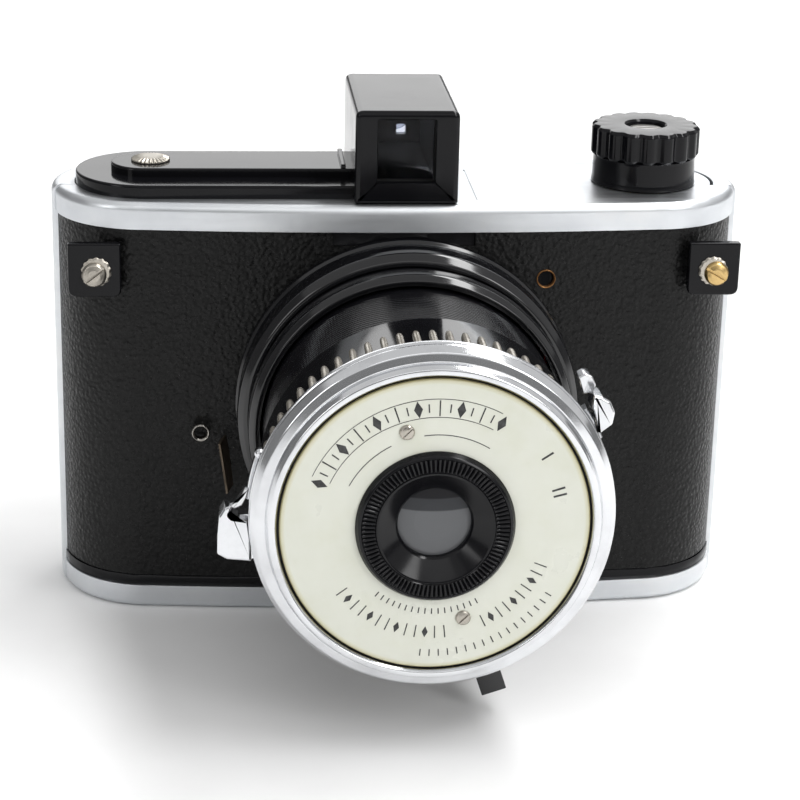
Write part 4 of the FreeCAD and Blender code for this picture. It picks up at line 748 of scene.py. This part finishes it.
def front_plan(inset, arc_steps=26, bow_steps=44):
    """The front of the body's plan set in from its edge, from seam to seam."""
    radius = END_RADIUS - inset
    bow_radius = (CENTRE * CENTRE + BOW * BOW) / (2 * BOW)
    half = math.asin(CENTRE / bow_radius)
    hub_y = bow_radius - BOW - radius
    start = math.asin(-SEAM_Y / radius)
    left = []
    for step in range(arc_steps + 1):
        angle = math.pi + start + (math.pi / 2 - start) * step / arc_steps
        left.append(Vector((-CENTRE + radius * math.cos(angle), radius * math.sin(angle))))
    bow = []
    for step in range(1, bow_steps):
        angle = 1.5 * math.pi - half + 2 * half * step / bow_steps
        bow.append(Vector((bow_radius * math.cos(angle), hub_y + bow_radius * math.sin(angle))))
    right = [Vector((-point.x, point.y)) for point in reversed(left)]
    return left + bow + right


def rear_plan(inset, arc_steps=16):
    """The rest of the plan behind the seam, set in from the edge, right to left."""
    radius = END_RADIUS - inset
    start = math.asin(-SEAM_Y / radius)
    right = []
    for step in range(arc_steps + 1):
        angle = -start + (math.pi / 2 + start) * step / arc_steps
        right.append(Vector((CENTRE + radius * math.cos(angle), radius * math.sin(angle))))
    return right + [Vector((-point.x, point.y)) for point in reversed(right)]


def end_plate(name, outer, rim, band, replaced):
    """A cap: a flat plate whose edge turns over the front and both ends.

    outer is the height of its flat face, rim the height where the band ends, and
    band tells which way the band runs from the flat face."""
    rear = rear_plan(REAR_INSET)
    gauge = CAP_GAUGE
    inner = outer + band * gauge

    def ring(inset, height, rear_height):
        front = [(point.x, point.y, height) for point in front_plan(inset)]
        return front + [(point.x, point.y, rear_height) for point in rear]
    rings = [
        ring(gauge + 0.6, inner, inner),
        ring(gauge, inner + band * 0.6, inner),
        ring(gauge, rim, inner),
        ring(gauge - 0.15, rim, inner),
        ring(0.12, rim, inner),
        ring(0.03, rim - band * 0.04, inner),
        ring(0.0, rim - band * 0.15, inner),
    ]
    for step in range(9):
        turn = math.pi / 2 * step / 8
        inset = EDGE * (1 - math.cos(turn))
        rings.append(ring(inset, outer + band * EDGE * (1 - math.sin(turn)), outer))
    points, faces = loft(rings)
    return make_piece(name, points, faces, "root", "bright_metal", replaced, sharp=40)


def make_end_plates():
    """The bright caps of the top and the bottom."""
    top = end_plate("top_cap", plate_high.z, plate_low.z, -1, ("top_plate",))
    for place, radius in ((KNOB_PLACE, 4.6), (STUD_PLACE, 1.6)):
        carve(top, *drill(upright(*place), radius, 70.0, 73.0, 48))
    line = [Vector(corner) for corner in ((11.95, -13.2), (12.25, -13.2), (12.25, 6.8), (11.95, 6.8))]
    carve(top, *slab(line, flat_on_top, plate_high.z - 0.15, plate_high.z + 1))
    end_plate("bottom_cap", 0.0, node_mm("bottom_plate")[1].z, 1, ("bottom_plate",))


make_end_plates()


# ---------------------------------------------------------------- body


def make_covering():
    """The grained covering of the front, cut round the flange and the peephole."""
    low = leather_low.z
    high = leather_high.z
    behind = -4
    before = 6
    rings = []
    for out, back in zip(front_plan(0.4), front_plan(1.0)):
        def at(share, height, out=out, back=back):
            return (*(out.lerp(back, share)), height)
        rings.append([
            at(0, low + 0.3), at(0, high), at(1, high), at(1, low), at(0.5, low), at(0.15, low + 0.1),
        ])
    points, faces = loft(rings)
    sheet = make_piece("front_covering", points, faces, "root", "leatherette", ("front_leatherette",))
    carve(sheet, *drill(on_lens, 28.1, behind, before, 180))
    peephole = fore_and_aft(23.7, 59.2)
    carve(sheet, *drill(peephole, 1.6, behind, before, 40))
    notch = [Vector(corner) for corner in ((-11.7, 65.0), (11.7, 65.0), (11.7, 70.0), (-11.7, 70.0))]
    carve(sheet, *slab(notch, facing_front, behind, before))
    turned("peephole_eyelet", [
        (1.34, -0.9, 0), (1.58, -0.9, 0), (1.58, 1.2, 0.05), (1.5, 1.3, 0.05), (1.34, 1.1, 0.05),
    ], peephole, "root", "brass", sides=40, material="brown_brass")


def stadium(left, right, middle_y, radius, steps=32):
    """A plan with a round left end and a square right end, as wide as two radii."""
    outline = [Vector((right, middle_y - radius)), Vector((right, middle_y + radius))]
    for step in range(steps + 1):
        angle = math.pi / 2 + math.pi * step / steps
        x = left + radius + radius * math.cos(angle)
        outline.append(Vector((x, middle_y + radius * math.sin(angle))))
    return outline


TIER_TOP = plate_high.z + 2.2
BAR_TOP = plate_high.z + 3.6


def make_top_moulding():
    """Two stacked black tiers with rounded ends, and the small rib by the finder."""
    square_end = -7.6
    sunk = 0.1
    tier = slab(stadium(-53.9, square_end, -0.7, 12.0), flat_on_top, plate_high.z, TIER_TOP, 0.45)
    bar = slab(stadium(-48.0, square_end, -1.1, 5.75), flat_on_top, TIER_TOP - sunk, BAR_TOP, 0.4)
    outline = [Vector(corner) for corner in ((-9.9, -6.6), (-9.1, -6.6), (-9.1, 4.5), (-9.9, 4.5))]
    rib = slab(outline, flat_on_top, BAR_TOP - 0.2, BAR_TOP + 0.7, 0.25)
    points, faces = gathered([tier, bar, rib])
    make_piece("tiered_moulding", points, faces, "root", "black_moulding", ("top_moulding",))


def make_stud():
    """The domed stud with a serrated edge that holds the bar down."""
    top = BAR_TOP
    teeth = 26
    smooth = 1.6
    notch = 0.22
    droop = 0.12

    def serration(angle, index, radius, height):
        wave = 0.5 + 0.5 * math.cos(teeth * angle)
        edge = max(0.0, min(1.0, (radius - smooth) / 1.2))
        return radius - notch * wave * edge, height - droop * wave * edge * (height > top + 0.2)

    turned("serrated_stud", [
        (0.02, top - 0.3, 0), (2.9, top - 0.3, 0), (3.25, top + 0.1, 0.15), (3.2, top + 0.45, 0.2),
        (2.2, top + 0.78, 0.5), (1.2, top + 0.86, 0.2), (0.02, top + 0.86, 0),
    ], upright(*STUD_PLACE), "root", "nickel", ("bar_stud",), sides=teeth * 8, shape=serration,
        sharp=40)


def rounded_box(low_x, high_x, low_z, high_z, radii, steps=6):
    """A rectangle in x and z with a radius for each corner, from lower left round."""
    corners = [(low_x, low_z), (high_x, low_z), (high_x, high_z), (low_x, high_z)]
    return soften([(x, z, radius) for (x, z), radius in zip(corners, radii)], steps)


WINDOW_X = (-4.6, 4.9)
WINDOW_Z = (75.4, 85.9)


def make_finder():
    """The finder's tunnel: a moulded block, open in front, with a small rear window."""
    low, high = node_mm("finder_housing")
    outer = rounded_box(low.x, high.x, low.z, high.z, (0.5, 0.5, 1.3, 1.3))
    window = rounded_box(*WINDOW_X, *WINDOW_Z, (0.4, 0.4, 0.4, 0.4))
    spyhole = rounded_box(0.7, 2.3, 76.9, 78.7, (0.15, 0.15, 0.15, 0.15))
    rear_wall = high.y - 1.6
    front_round = 0.9
    rear_round = 0.5
    steps = 5

    def level(outline, y):
        return [(point.x, y, point.y) for point in outline]
    rings = [
        level(spyhole, high.y), level(spyhole, rear_wall), level(window, rear_wall),
        level(window, low.y + 0.1), level(inward(window, -0.08), low.y),
    ]
    for step in range(steps + 1):
        turn = math.pi / 2 * step / steps
        edge = inward(outer, front_round * (1 - math.sin(turn)))
        rings.append(level(edge, low.y + front_round * (1 - math.cos(turn))))
    for step in range(steps + 1):
        turn = math.pi / 2 * step / steps
        edge = inward(outer, rear_round * (1 - math.cos(turn)))
        rings.append(level(edge, high.y - rear_round * (1 - math.sin(turn))))
    points, faces = looped(rings)
    make_piece("finder_block", points, faces, "root", "black_moulding", ("finder_housing",), sharp=40)
    paint_outer = inward(window, 0.02)
    paint_inner = inward(window, 0.12)
    front_end = low.y + 1.2
    rear_end = rear_wall - 0.02
    points, faces = looped([
        level(paint_outer, front_end), level(paint_outer, rear_end), level(paint_inner, rear_end),
        level(paint_inner, front_end),
    ])
    make_piece("finder_lining", points, faces, "root", "dull_black", sharp=40)


def make_finder_glass():
    """The finder's front window, a thin pane set back in the tunnel."""
    gap = 0.05
    across = (WINDOW_X[0] + gap, WINDOW_X[1] - gap)
    upward = (WINDOW_Z[0] + gap, WINDOW_Z[1] - gap)
    pane = rounded_box(*across, *upward, (0.3, 0.3, 0.3, 0.3))
    front_y = node_mm("finder_housing")[0].y
    glass_front = FACE_Y - front_y - 2.2
    gauge = 0.8
    points, faces = slab(pane, facing_front, glass_front - gauge, glass_front, 0.1, 0.1)
    make_piece("finder_pane", points, faces, "root", "clear_glass", ("finder_front_lens",))


make_covering()
make_top_moulding()
make_stud()
make_finder()
make_finder_glass()


# ---------------------------------------------------------------- knob, lugs, levers


SCALLOPS = 17
CORNER_SIGNS = ((-1, -1), (1, -1), (1, 1), (-1, 1))


def make_knob():
    """The winding knob: scalloped head on a plain collar, with a hollow in its top."""
    centre = middle("winding_knob")
    low, high = node_mm("winding_knob")
    head = 76.7
    hollow = 80.2
    depth = 0.62
    corners = [
        (6.9, low.z, 0), (8.84, low.z, 0.2), (8.7, low.z + 0.9, 0.3), (8.6, head - 0.5, 0.1),
        (8.6, head - 0.1, 0.1), (8.9, head, 0.2), (9.15, head + 0.4, 0.2), (9.15, high.z - 0.5, 0.2),
        (8.7, high.z, 0.25), (5.5, high.z, 0), (3.6, high.z, 0.2), (3.3, high.z - 0.4, 0.1),
        (3.2, hollow, 0.1), (2.6, hollow, 0), (2.6, 75.9, 0), (6.9, 75.8, 0),
    ]

    def scallop(angle, index, radius, height):
        if radius > 8.2 and height > head - 0.05:
            wave = 0.5 + 0.5 * math.cos(SCALLOPS * angle)
            return radius - depth * wave ** 1.6, height
        return radius, height

    turned("scalloped_knob", corners, upright(centre.x, centre.y), "winder", "black_moulding",
           ("winding_knob",), sides=SCALLOPS * 18, shape=scallop, sharp=45)


def make_lug(side, low_x, screw_x, washer_x, slot_angle, slot):
    """A strap lug with its serrated washer and domed screw."""
    low, high = node_mm(f"strap_lug_{side}")
    front = FACE_Y - low.y
    high_x = low_x + 8.6
    screw_z = 60.2
    washer_z = 60.6
    washer = fore_and_aft(washer_x, washer_z)
    screw_axis = fore_and_aft(screw_x, screw_z)
    plate = soften([
        (low_x, low.z, 1.4), (high_x, low.z, 1.4), (high_x, high.z, 0.35), (low_x, high.z, 0.35),
    ])
    tab = slab(plate, facing_front, front - 1.5, front, 0.3, 0.15)
    boss = soften([
        (1.2, front - 3.2, 0), (3.0, front - 3.2, 0), (3.0, front - 1.4, 0), (1.2, front - 1.4, 0),
    ])
    points, faces = gathered([tab, swept_ring(boss, screw_axis, 48)])
    make_piece(f"strap_lug_{side}_plate", points, faces, "root", "black_moulding",
               (f"strap_lug_{side}",))

    def teeth(angle, index, radius, ahead):
        return radius * (1 - 0.035 * math.cos(14 * angle)), ahead
    turned(f"strap_washer_{side}", [
        (1.3, front, 0), (2.35, front, 0), (2.45, front + 0.22, 0.1), (2.1, front + 0.38, 0.1),
        (1.3, front + 0.38, 0),
    ], washer, "root", "nickel", sides=84, shape=teeth)

    head = soften([
        (0.02, front + 0.3, 0), (1.9, front + 0.3, 0), (2.05, front + 0.6, 0.2),
        (1.75, front + 1.1, 0.4), (1.0, front + 1.35, 0.5), (0.02, front + 1.4, 0),
    ])
    points, faces = swept_ring(head, screw_axis, 64)
    screw = make_piece(f"strap_screw_{side}_head", points, faces, "root", slot,
                       (f"strap_screw_{side}",))
    along = Vector((math.cos(slot_angle), math.sin(slot_angle)))
    across = Vector((-along.y, along.x))
    centre = Vector((screw_x, screw_z))
    cut = [centre + along * 3 * a + across * 0.24 * b for a, b in CORNER_SIGNS]
    carve(screw, *slab(cut, facing_front, front + 0.75, front + 3))


def outline_piece(name, outline, low, high, body, slot, replaced, edge, more=()):
    """A plate drawn from the front, between two stations, with rounded edges."""
    plate = slab(soften(outline, 4), facing_front, low, high, edge, edge * 0.6)
    points, faces = gathered([plate, *more])
    return make_piece(name, points, faces, body, slot, replaced)


def arc_strip(inner, outer, first, last, low, high, steps=28):
    """A curved bar that follows a circle round the optical axis."""
    rings = []
    edge = 0.18
    for step in range(steps + 1):
        angle = math.radians(first + (last - first) * step / steps)
        section = [
            (inner, low + edge), (inner, high - edge), (inner + edge, high), (outer - edge, high),
            (outer, high - edge), (outer, low + edge), (outer - edge, low), (inner + edge, low),
        ]
        rings.append([on_lens(radius, angle, ahead) for radius, ahead in section])
    return loft(rings)


def make_levers():
    """The plated release with its long arm and thumb tab, and the small selector."""
    low = 46.2
    high = 48.4
    tab = [
        (-25.95, 30.4, 0.2), (-29.6, 30.75, 0.6), (-31.05, 31.6, 0.5), (-31.0, 34.5, 0.8),
        (-30.75, 37.5, 0.8), (-29.9, 39.0, 0.5), (-29.0, 39.3, 0.25), (-28.9, 38.6, 0.15),
        (-29.3, 37.8, 0.3), (-28.8, 37.3, 0.2), (-26.5, 36.9, 0.2), (-26.1, 34.0, 0.3),
    ]
    link = [
        (-29.3, 38.6, 0.15), (-28.7, 38.25, 0.1), (-27.3, 39.0, 0.3), (-26.7, 40.1, 0.3),
        (-26.3, 41.6, 0.2), (-27.0, 41.6, 0.2), (-27.4, 40.4, 0.3), (-28.0, 39.7, 0.3),
        (-29.2, 39.2, 0.2),
    ]
    arm = arc_strip(26.6, 27.5, 160, 176, low, high)
    hook = slab(soften(link, 4), facing_front, 46.4, 48.6, 0.2, 0.1)
    shank = arc_strip(26.6, 28.6, 181, 196, low, high)
    bead_outline = soften([
        (0.02, 47.0, 0), (0.75, 47.0, 0), (0.8, 48.3, 0.3), (0.5, 48.8, 0.3), (0.02, 48.85, 0),
    ])
    bead_x, _, bead_z = on_lens(27.0, math.radians(160.5), 0)
    bead = swept_ring(bead_outline, fore_and_aft(bead_x, bead_z), 24)
    outline_piece("release_tab", tab, 45.8, 49.7, "release", "chrome", ("release_lever",), 0.35,
                  [arm, hook, shank, bead])
    pointer = [
        (25.0, 49.9, 0.2), (27.1, 51.6, 0.5), (27.4, 53.4, 0.9), (26.6, 55.2, 0.8), (25.4, 55.9, 0.4),
        (24.1, 56.2, 0.2), (23.9, 54.0, 0.2),
    ]
    ear = [
        (23.0, 55.2, 0.2), (24.6, 55.3, 0.3), (24.9, 56.6, 0.5), (24.3, 58.0, 0.7), (23.2, 58.4, 0.6),
        (22.2, 57.8, 0.3),
    ]
    wing = slab(soften(ear, 4), facing_front, 43.4, 46.2, 0.25, 0.15)
    outline_piece("selector_tab", pointer, 45.0, 49.7, "selector", "chrome", ("selector_lever",), 0.5,
                  [wing, arc_strip(26.7, 27.6, 24, 35, low, high)])


def make_catch():
    """The barrel catch: a pierced lug on the front and a bowed leaf by the flange."""
    lug = [
        (-35.8, 30.3, 0.5), (-33.0, 29.9, 0.8), (-31.4, 31.6, 0.6), (-31.4, 34.4, 0.8),
        (-33.0, 35.8, 0.9), (-35.0, 35.8, 0.8), (-35.9, 34.6, 0.6),
    ]
    catch = outline_piece("catch_lug", lug, -0.3, 2.2, "root", "black_enamel",
                          ("catch_bracket", "catch_pin"), 0.5)
    eye = fore_and_aft(-33.4, 32.9)
    carve(catch, *drill(eye, 1.35, 1.1, 6, 36))
    turned("catch_eyelet", [
        (1.05, 1.0, 0), (1.34, 1.0, 0), (1.55, 2.3, 0.15), (1.35, 2.65, 0.12), (1.05, 2.3, 0.1),
    ], eye, "root", "black_enamel", sides=40, material="dark_chrome")
    rings = []
    steps = 18
    centre = 4.6
    for step in range(steps + 1):
        share = step / steps
        angle = math.radians(190 + 16 * share)
        radius = 31.2 + 1.6 * share ** 2
        wide = 2.4 * (0.55 + 0.45 * math.sin(math.pi * min(1.0, 0.15 + share)))
        section = [
            (-0.85, -wide), (-0.45, -wide), (0.25, 0), (0.55, wide * 0.9), (0.45, wide),
            (0.2, wide), (0.05, wide * 0.8), (-0.3, 0),
        ]
        rings.append([on_lens(radius + out, angle, centre + along) for out, along in section])
    points, faces = loft(rings)
    make_piece("catch_bow", points, faces, "catch", "brass", ("catch_leaf",), material="aged_brass")


make_knob()
make_lug("left", -54.7, -50.45, -50.1, math.radians(38), "nickel")
make_lug("right", 47.5, 52.15, 51.6, math.radians(-30), "brass")
make_levers()
make_catch()


# ---------------------------------------------------------------- front plate


def make_plate():
    """The ivory plate with its turned-down edge and the hole for the lens."""
    turned("ivory_plate", [
        (8.9, 54.3, 0), (22.85, 54.3, 0), (22.85, 54.75, 0.1), (22.65, 54.9, 0.1), (8.9, 54.9, 0),
    ], on_lens, "barrel", "cream_enamel", ("face_plate",), sides=200)


MARK_LOW = 54.86
MARK_HIGH = 54.93


def mark_strip(inner, outer, first, last, steps=1):
    """A thin raised mark on the plate, between two radii and two angles."""
    section = ((inner, MARK_LOW), (inner, MARK_HIGH), (outer, MARK_HIGH), (outer, MARK_LOW))
    rings = []
    for step in range(steps + 1):
        angle = first + (last - first) * step / steps
        rings.append([on_lens(radius, angle, ahead) for radius, ahead in section])
    return loft(rings)


def arc_mark(radius, first, last, weight):
    """A fine line along a circle; angles are in degrees."""
    return mark_strip(radius - weight / 2, radius + weight / 2, math.radians(first),
                      math.radians(last), 40)


def tick(radius, degrees, length, weight):
    """A short radial stroke centred on a radius."""
    angle = math.radians(degrees)
    half = weight / 2 / radius
    return mark_strip(radius - length / 2, radius + length / 2, angle - half, angle + half)


def lozenge(radius, degrees, long, wide):
    """A small diamond that points along the radius."""
    angle = math.radians(degrees)
    corners = ((radius - long / 2, 0), (radius, wide / 2), (radius + long / 2, 0), (radius, -wide / 2))
    return loft([
        [on_lens(reach, angle + side / reach, ahead) for reach, side in corners]
        for ahead in (MARK_LOW, MARK_HIGH)
    ])


def make_marks():
    """A plain ornament of arcs, strokes and diamonds, and two shutter marks."""
    parts = [
        arc_mark(14.3, 118, 153, 0.13), arc_mark(14.3, 58, 98, 0.13),
        arc_mark(17.0, 62, 156, 0.1), arc_mark(19.8, 62, 156, 0.1),
    ]
    scale_radius = 18.4
    gaps = 20
    for number in range(gaps + 1):
        degrees = 158 - 98 * number / gaps
        if number % 4 == 0:
            parts.append(lozenge(scale_radius, degrees, 2.6, 1.3))
        elif number % 2 == 0:
            parts.append(tick(scale_radius, degrees, 2.4, 0.2))
        else:
            parts.append(tick(scale_radius, degrees, 1.3, 0.2))
    for radius, first, last, count, length in (
        (13.6, -128, -62, 17, 0.9), (17.0, -143, -84, 13, 2.0), (17.0, -64, -22, 10, 2.0),
        (20.4, -95, -33, 17, 1.1),
    ):
        for number in range(count):
            degrees = first + (last - first) * number / (count - 1)
            if number % 3 == 1 and length > 1.5:
                parts.append(lozenge(radius, degrees, length * 0.9, 0.9))
            else:
                parts.append(tick(radius, degrees, length, 0.17))
    parts.append(tick(19.4, 34, 2.0, 0.3))
    parts.append(tick(18.8, 17.5, 2.0, 0.3))
    parts.append(tick(18.8, 14.5, 2.0, 0.3))
    points, faces = gathered(parts)
    make_piece("plate_marks", points, faces, "barrel", "black_enamel", material="engraving")


def make_rivets():
    """The two slotted rivet heads of the plate."""
    head = soften([
        (0.02, 54.7, 0), (1.15, 54.7, 0), (1.15, 55.05, 0.1), (0.95, 55.3, 0.15), (0.5, 55.4, 0.1),
        (0.02, 55.4, 0),
    ])
    for number, degrees in enumerate((107, -73)):
        middle_x, _, middle_z = on_lens(15.4, math.radians(degrees), 0)
        points, faces = swept_ring(head, fore_and_aft(middle_x, middle_z), 40)
        replaced = ("plate_rivets",) if number == 0 else ()
        rivet = make_piece(f"rivet_{number}", points, faces, "barrel", "nickel", replaced)
        slot = [Vector((middle_x + 3 * a - 0.12 * b, middle_z + 3 * a + 0.12 * b))
                for a, b in CORNER_SIGNS]
        carve(rivet, *slab(slot, facing_front, 55.15, 57))


make_plate()
make_marks()
make_rivets()


# ---------------------------------------------------------------- floor, light, camera


def make_stage():
    """A pale floor that runs away to a pale background."""
    mesh = bpy.data.meshes.new("floor")
    floor = bpy.data.objects.new("floor", mesh)
    bpy.context.scene.collection.objects.link(floor)
    shape = bmesh.new()
    bmesh.ops.create_grid(shape, x_segments=1, y_segments=1, size=4.0)
    shape.to_mesh(mesh)
    shape.free()
    material, tree, shader = new_material("floor_paper")
    fibres = noise(tree, 40, 3)
    tree.links.new(ramp(tree, fibres, [(0.3, 0.88), (0.7, 0.92)]), shader.inputs["Base Color"])
    shader.inputs["Roughness"].default_value = 0.7
    shader.inputs["Specular IOR Level"].default_value = 0.2
    mesh.materials.append(material)


def area_light(name, place, target, size, power):
    """A rectangular soft light at a place, aimed at a target, all in metres."""
    data = bpy.data.lights.new(name, "AREA")
    data.shape = "RECTANGLE"
    data.size, data.size_y = size
    data.energy = power
    lamp = bpy.data.objects.new(name, data)
    bpy.context.scene.collection.objects.link(lamp)
    lamp.location = place
    direction = Vector(target) - Vector(place)
    lamp.rotation_euler = direction.to_track_quat("-Z", "Y").to_euler()
    lamp.visible_camera = False


def make_light():
    """A dim surround, a wide soft sky, and soft lights above, in front, behind and at both sides."""
    world = bpy.data.worlds.new("surround")
    world.use_nodes = True
    world.node_tree.nodes["Background"].inputs["Color"].default_value = (1, 1, 1, 1)
    world.node_tree.nodes["Background"].inputs["Strength"].default_value = 0.24
    bpy.context.scene.world = world
    target = (0, 0, 0.04)
    sun = bpy.data.lights.new("sky_light", "SUN")
    sun.energy = 1.15
    sun.angle = math.radians(130)
    sky = bpy.data.objects.new("sky_light", sun)
    bpy.context.scene.collection.objects.link(sky)
    sky.rotation_euler = Vector((-0.3, 0.1, -1)).to_track_quat("-Z", "Y").to_euler()
    area_light("top_light", (0.36, 0.04, 0.8), (0.15, 0.0, 0.04), (1.2, 0.16), 7.0)
    area_light("front_light", (0.1, -0.75, 0.95), target, (1.1, 0.3), 0.8)
    area_light("back_light", (0.1, 1.5, 0.62), target, (1.5, 0.7), 5.4)
    area_light("left_light", (-0.75, -0.55, 0.5), target, (0.25, 0.5), 1.3)
    area_light("right_light", (0.6, -0.75, 0.55), target, (0.3, 0.4), 2.2)


CAMERA_PLACE = Vector((-33.05, -383.25, 171.44))
CAMERA_YAW = -0.0897343
CAMERA_TILT = 0.3476172
CAMERA_ROLL = 0.0237135


def make_camera():
    """The camera, from its place, heading, downward tilt and roll."""
    data = bpy.data.cameras.new("camera")
    data.lens = 105.115
    data.sensor_width = 36.0
    data.clip_start = 0.01
    camera = bpy.data.objects.new("camera", data)
    bpy.context.scene.collection.objects.link(camera)
    forward = Vector((
        -math.sin(CAMERA_YAW) * math.cos(CAMERA_TILT),
        math.cos(CAMERA_YAW) * math.cos(CAMERA_TILT),
        -math.sin(CAMERA_TILT),
    ))
    level = Vector((math.cos(CAMERA_YAW), math.sin(CAMERA_YAW), 0))
    upward = level.cross(forward)
    right = math.cos(CAMERA_ROLL) * level + math.sin(CAMERA_ROLL) * upward
    up = -math.sin(CAMERA_ROLL) * level + math.cos(CAMERA_ROLL) * upward
    axes = Matrix((right, up, -forward)).transposed()
    camera.matrix_world = Matrix.Translation(CAMERA_PLACE * MM) @ axes.to_4x4()
    bpy.context.scene.camera = camera


flatten_shading()
make_stage()
make_light()
make_camera()
bpy.context.scene.view_settings.view_transform = "Standard"
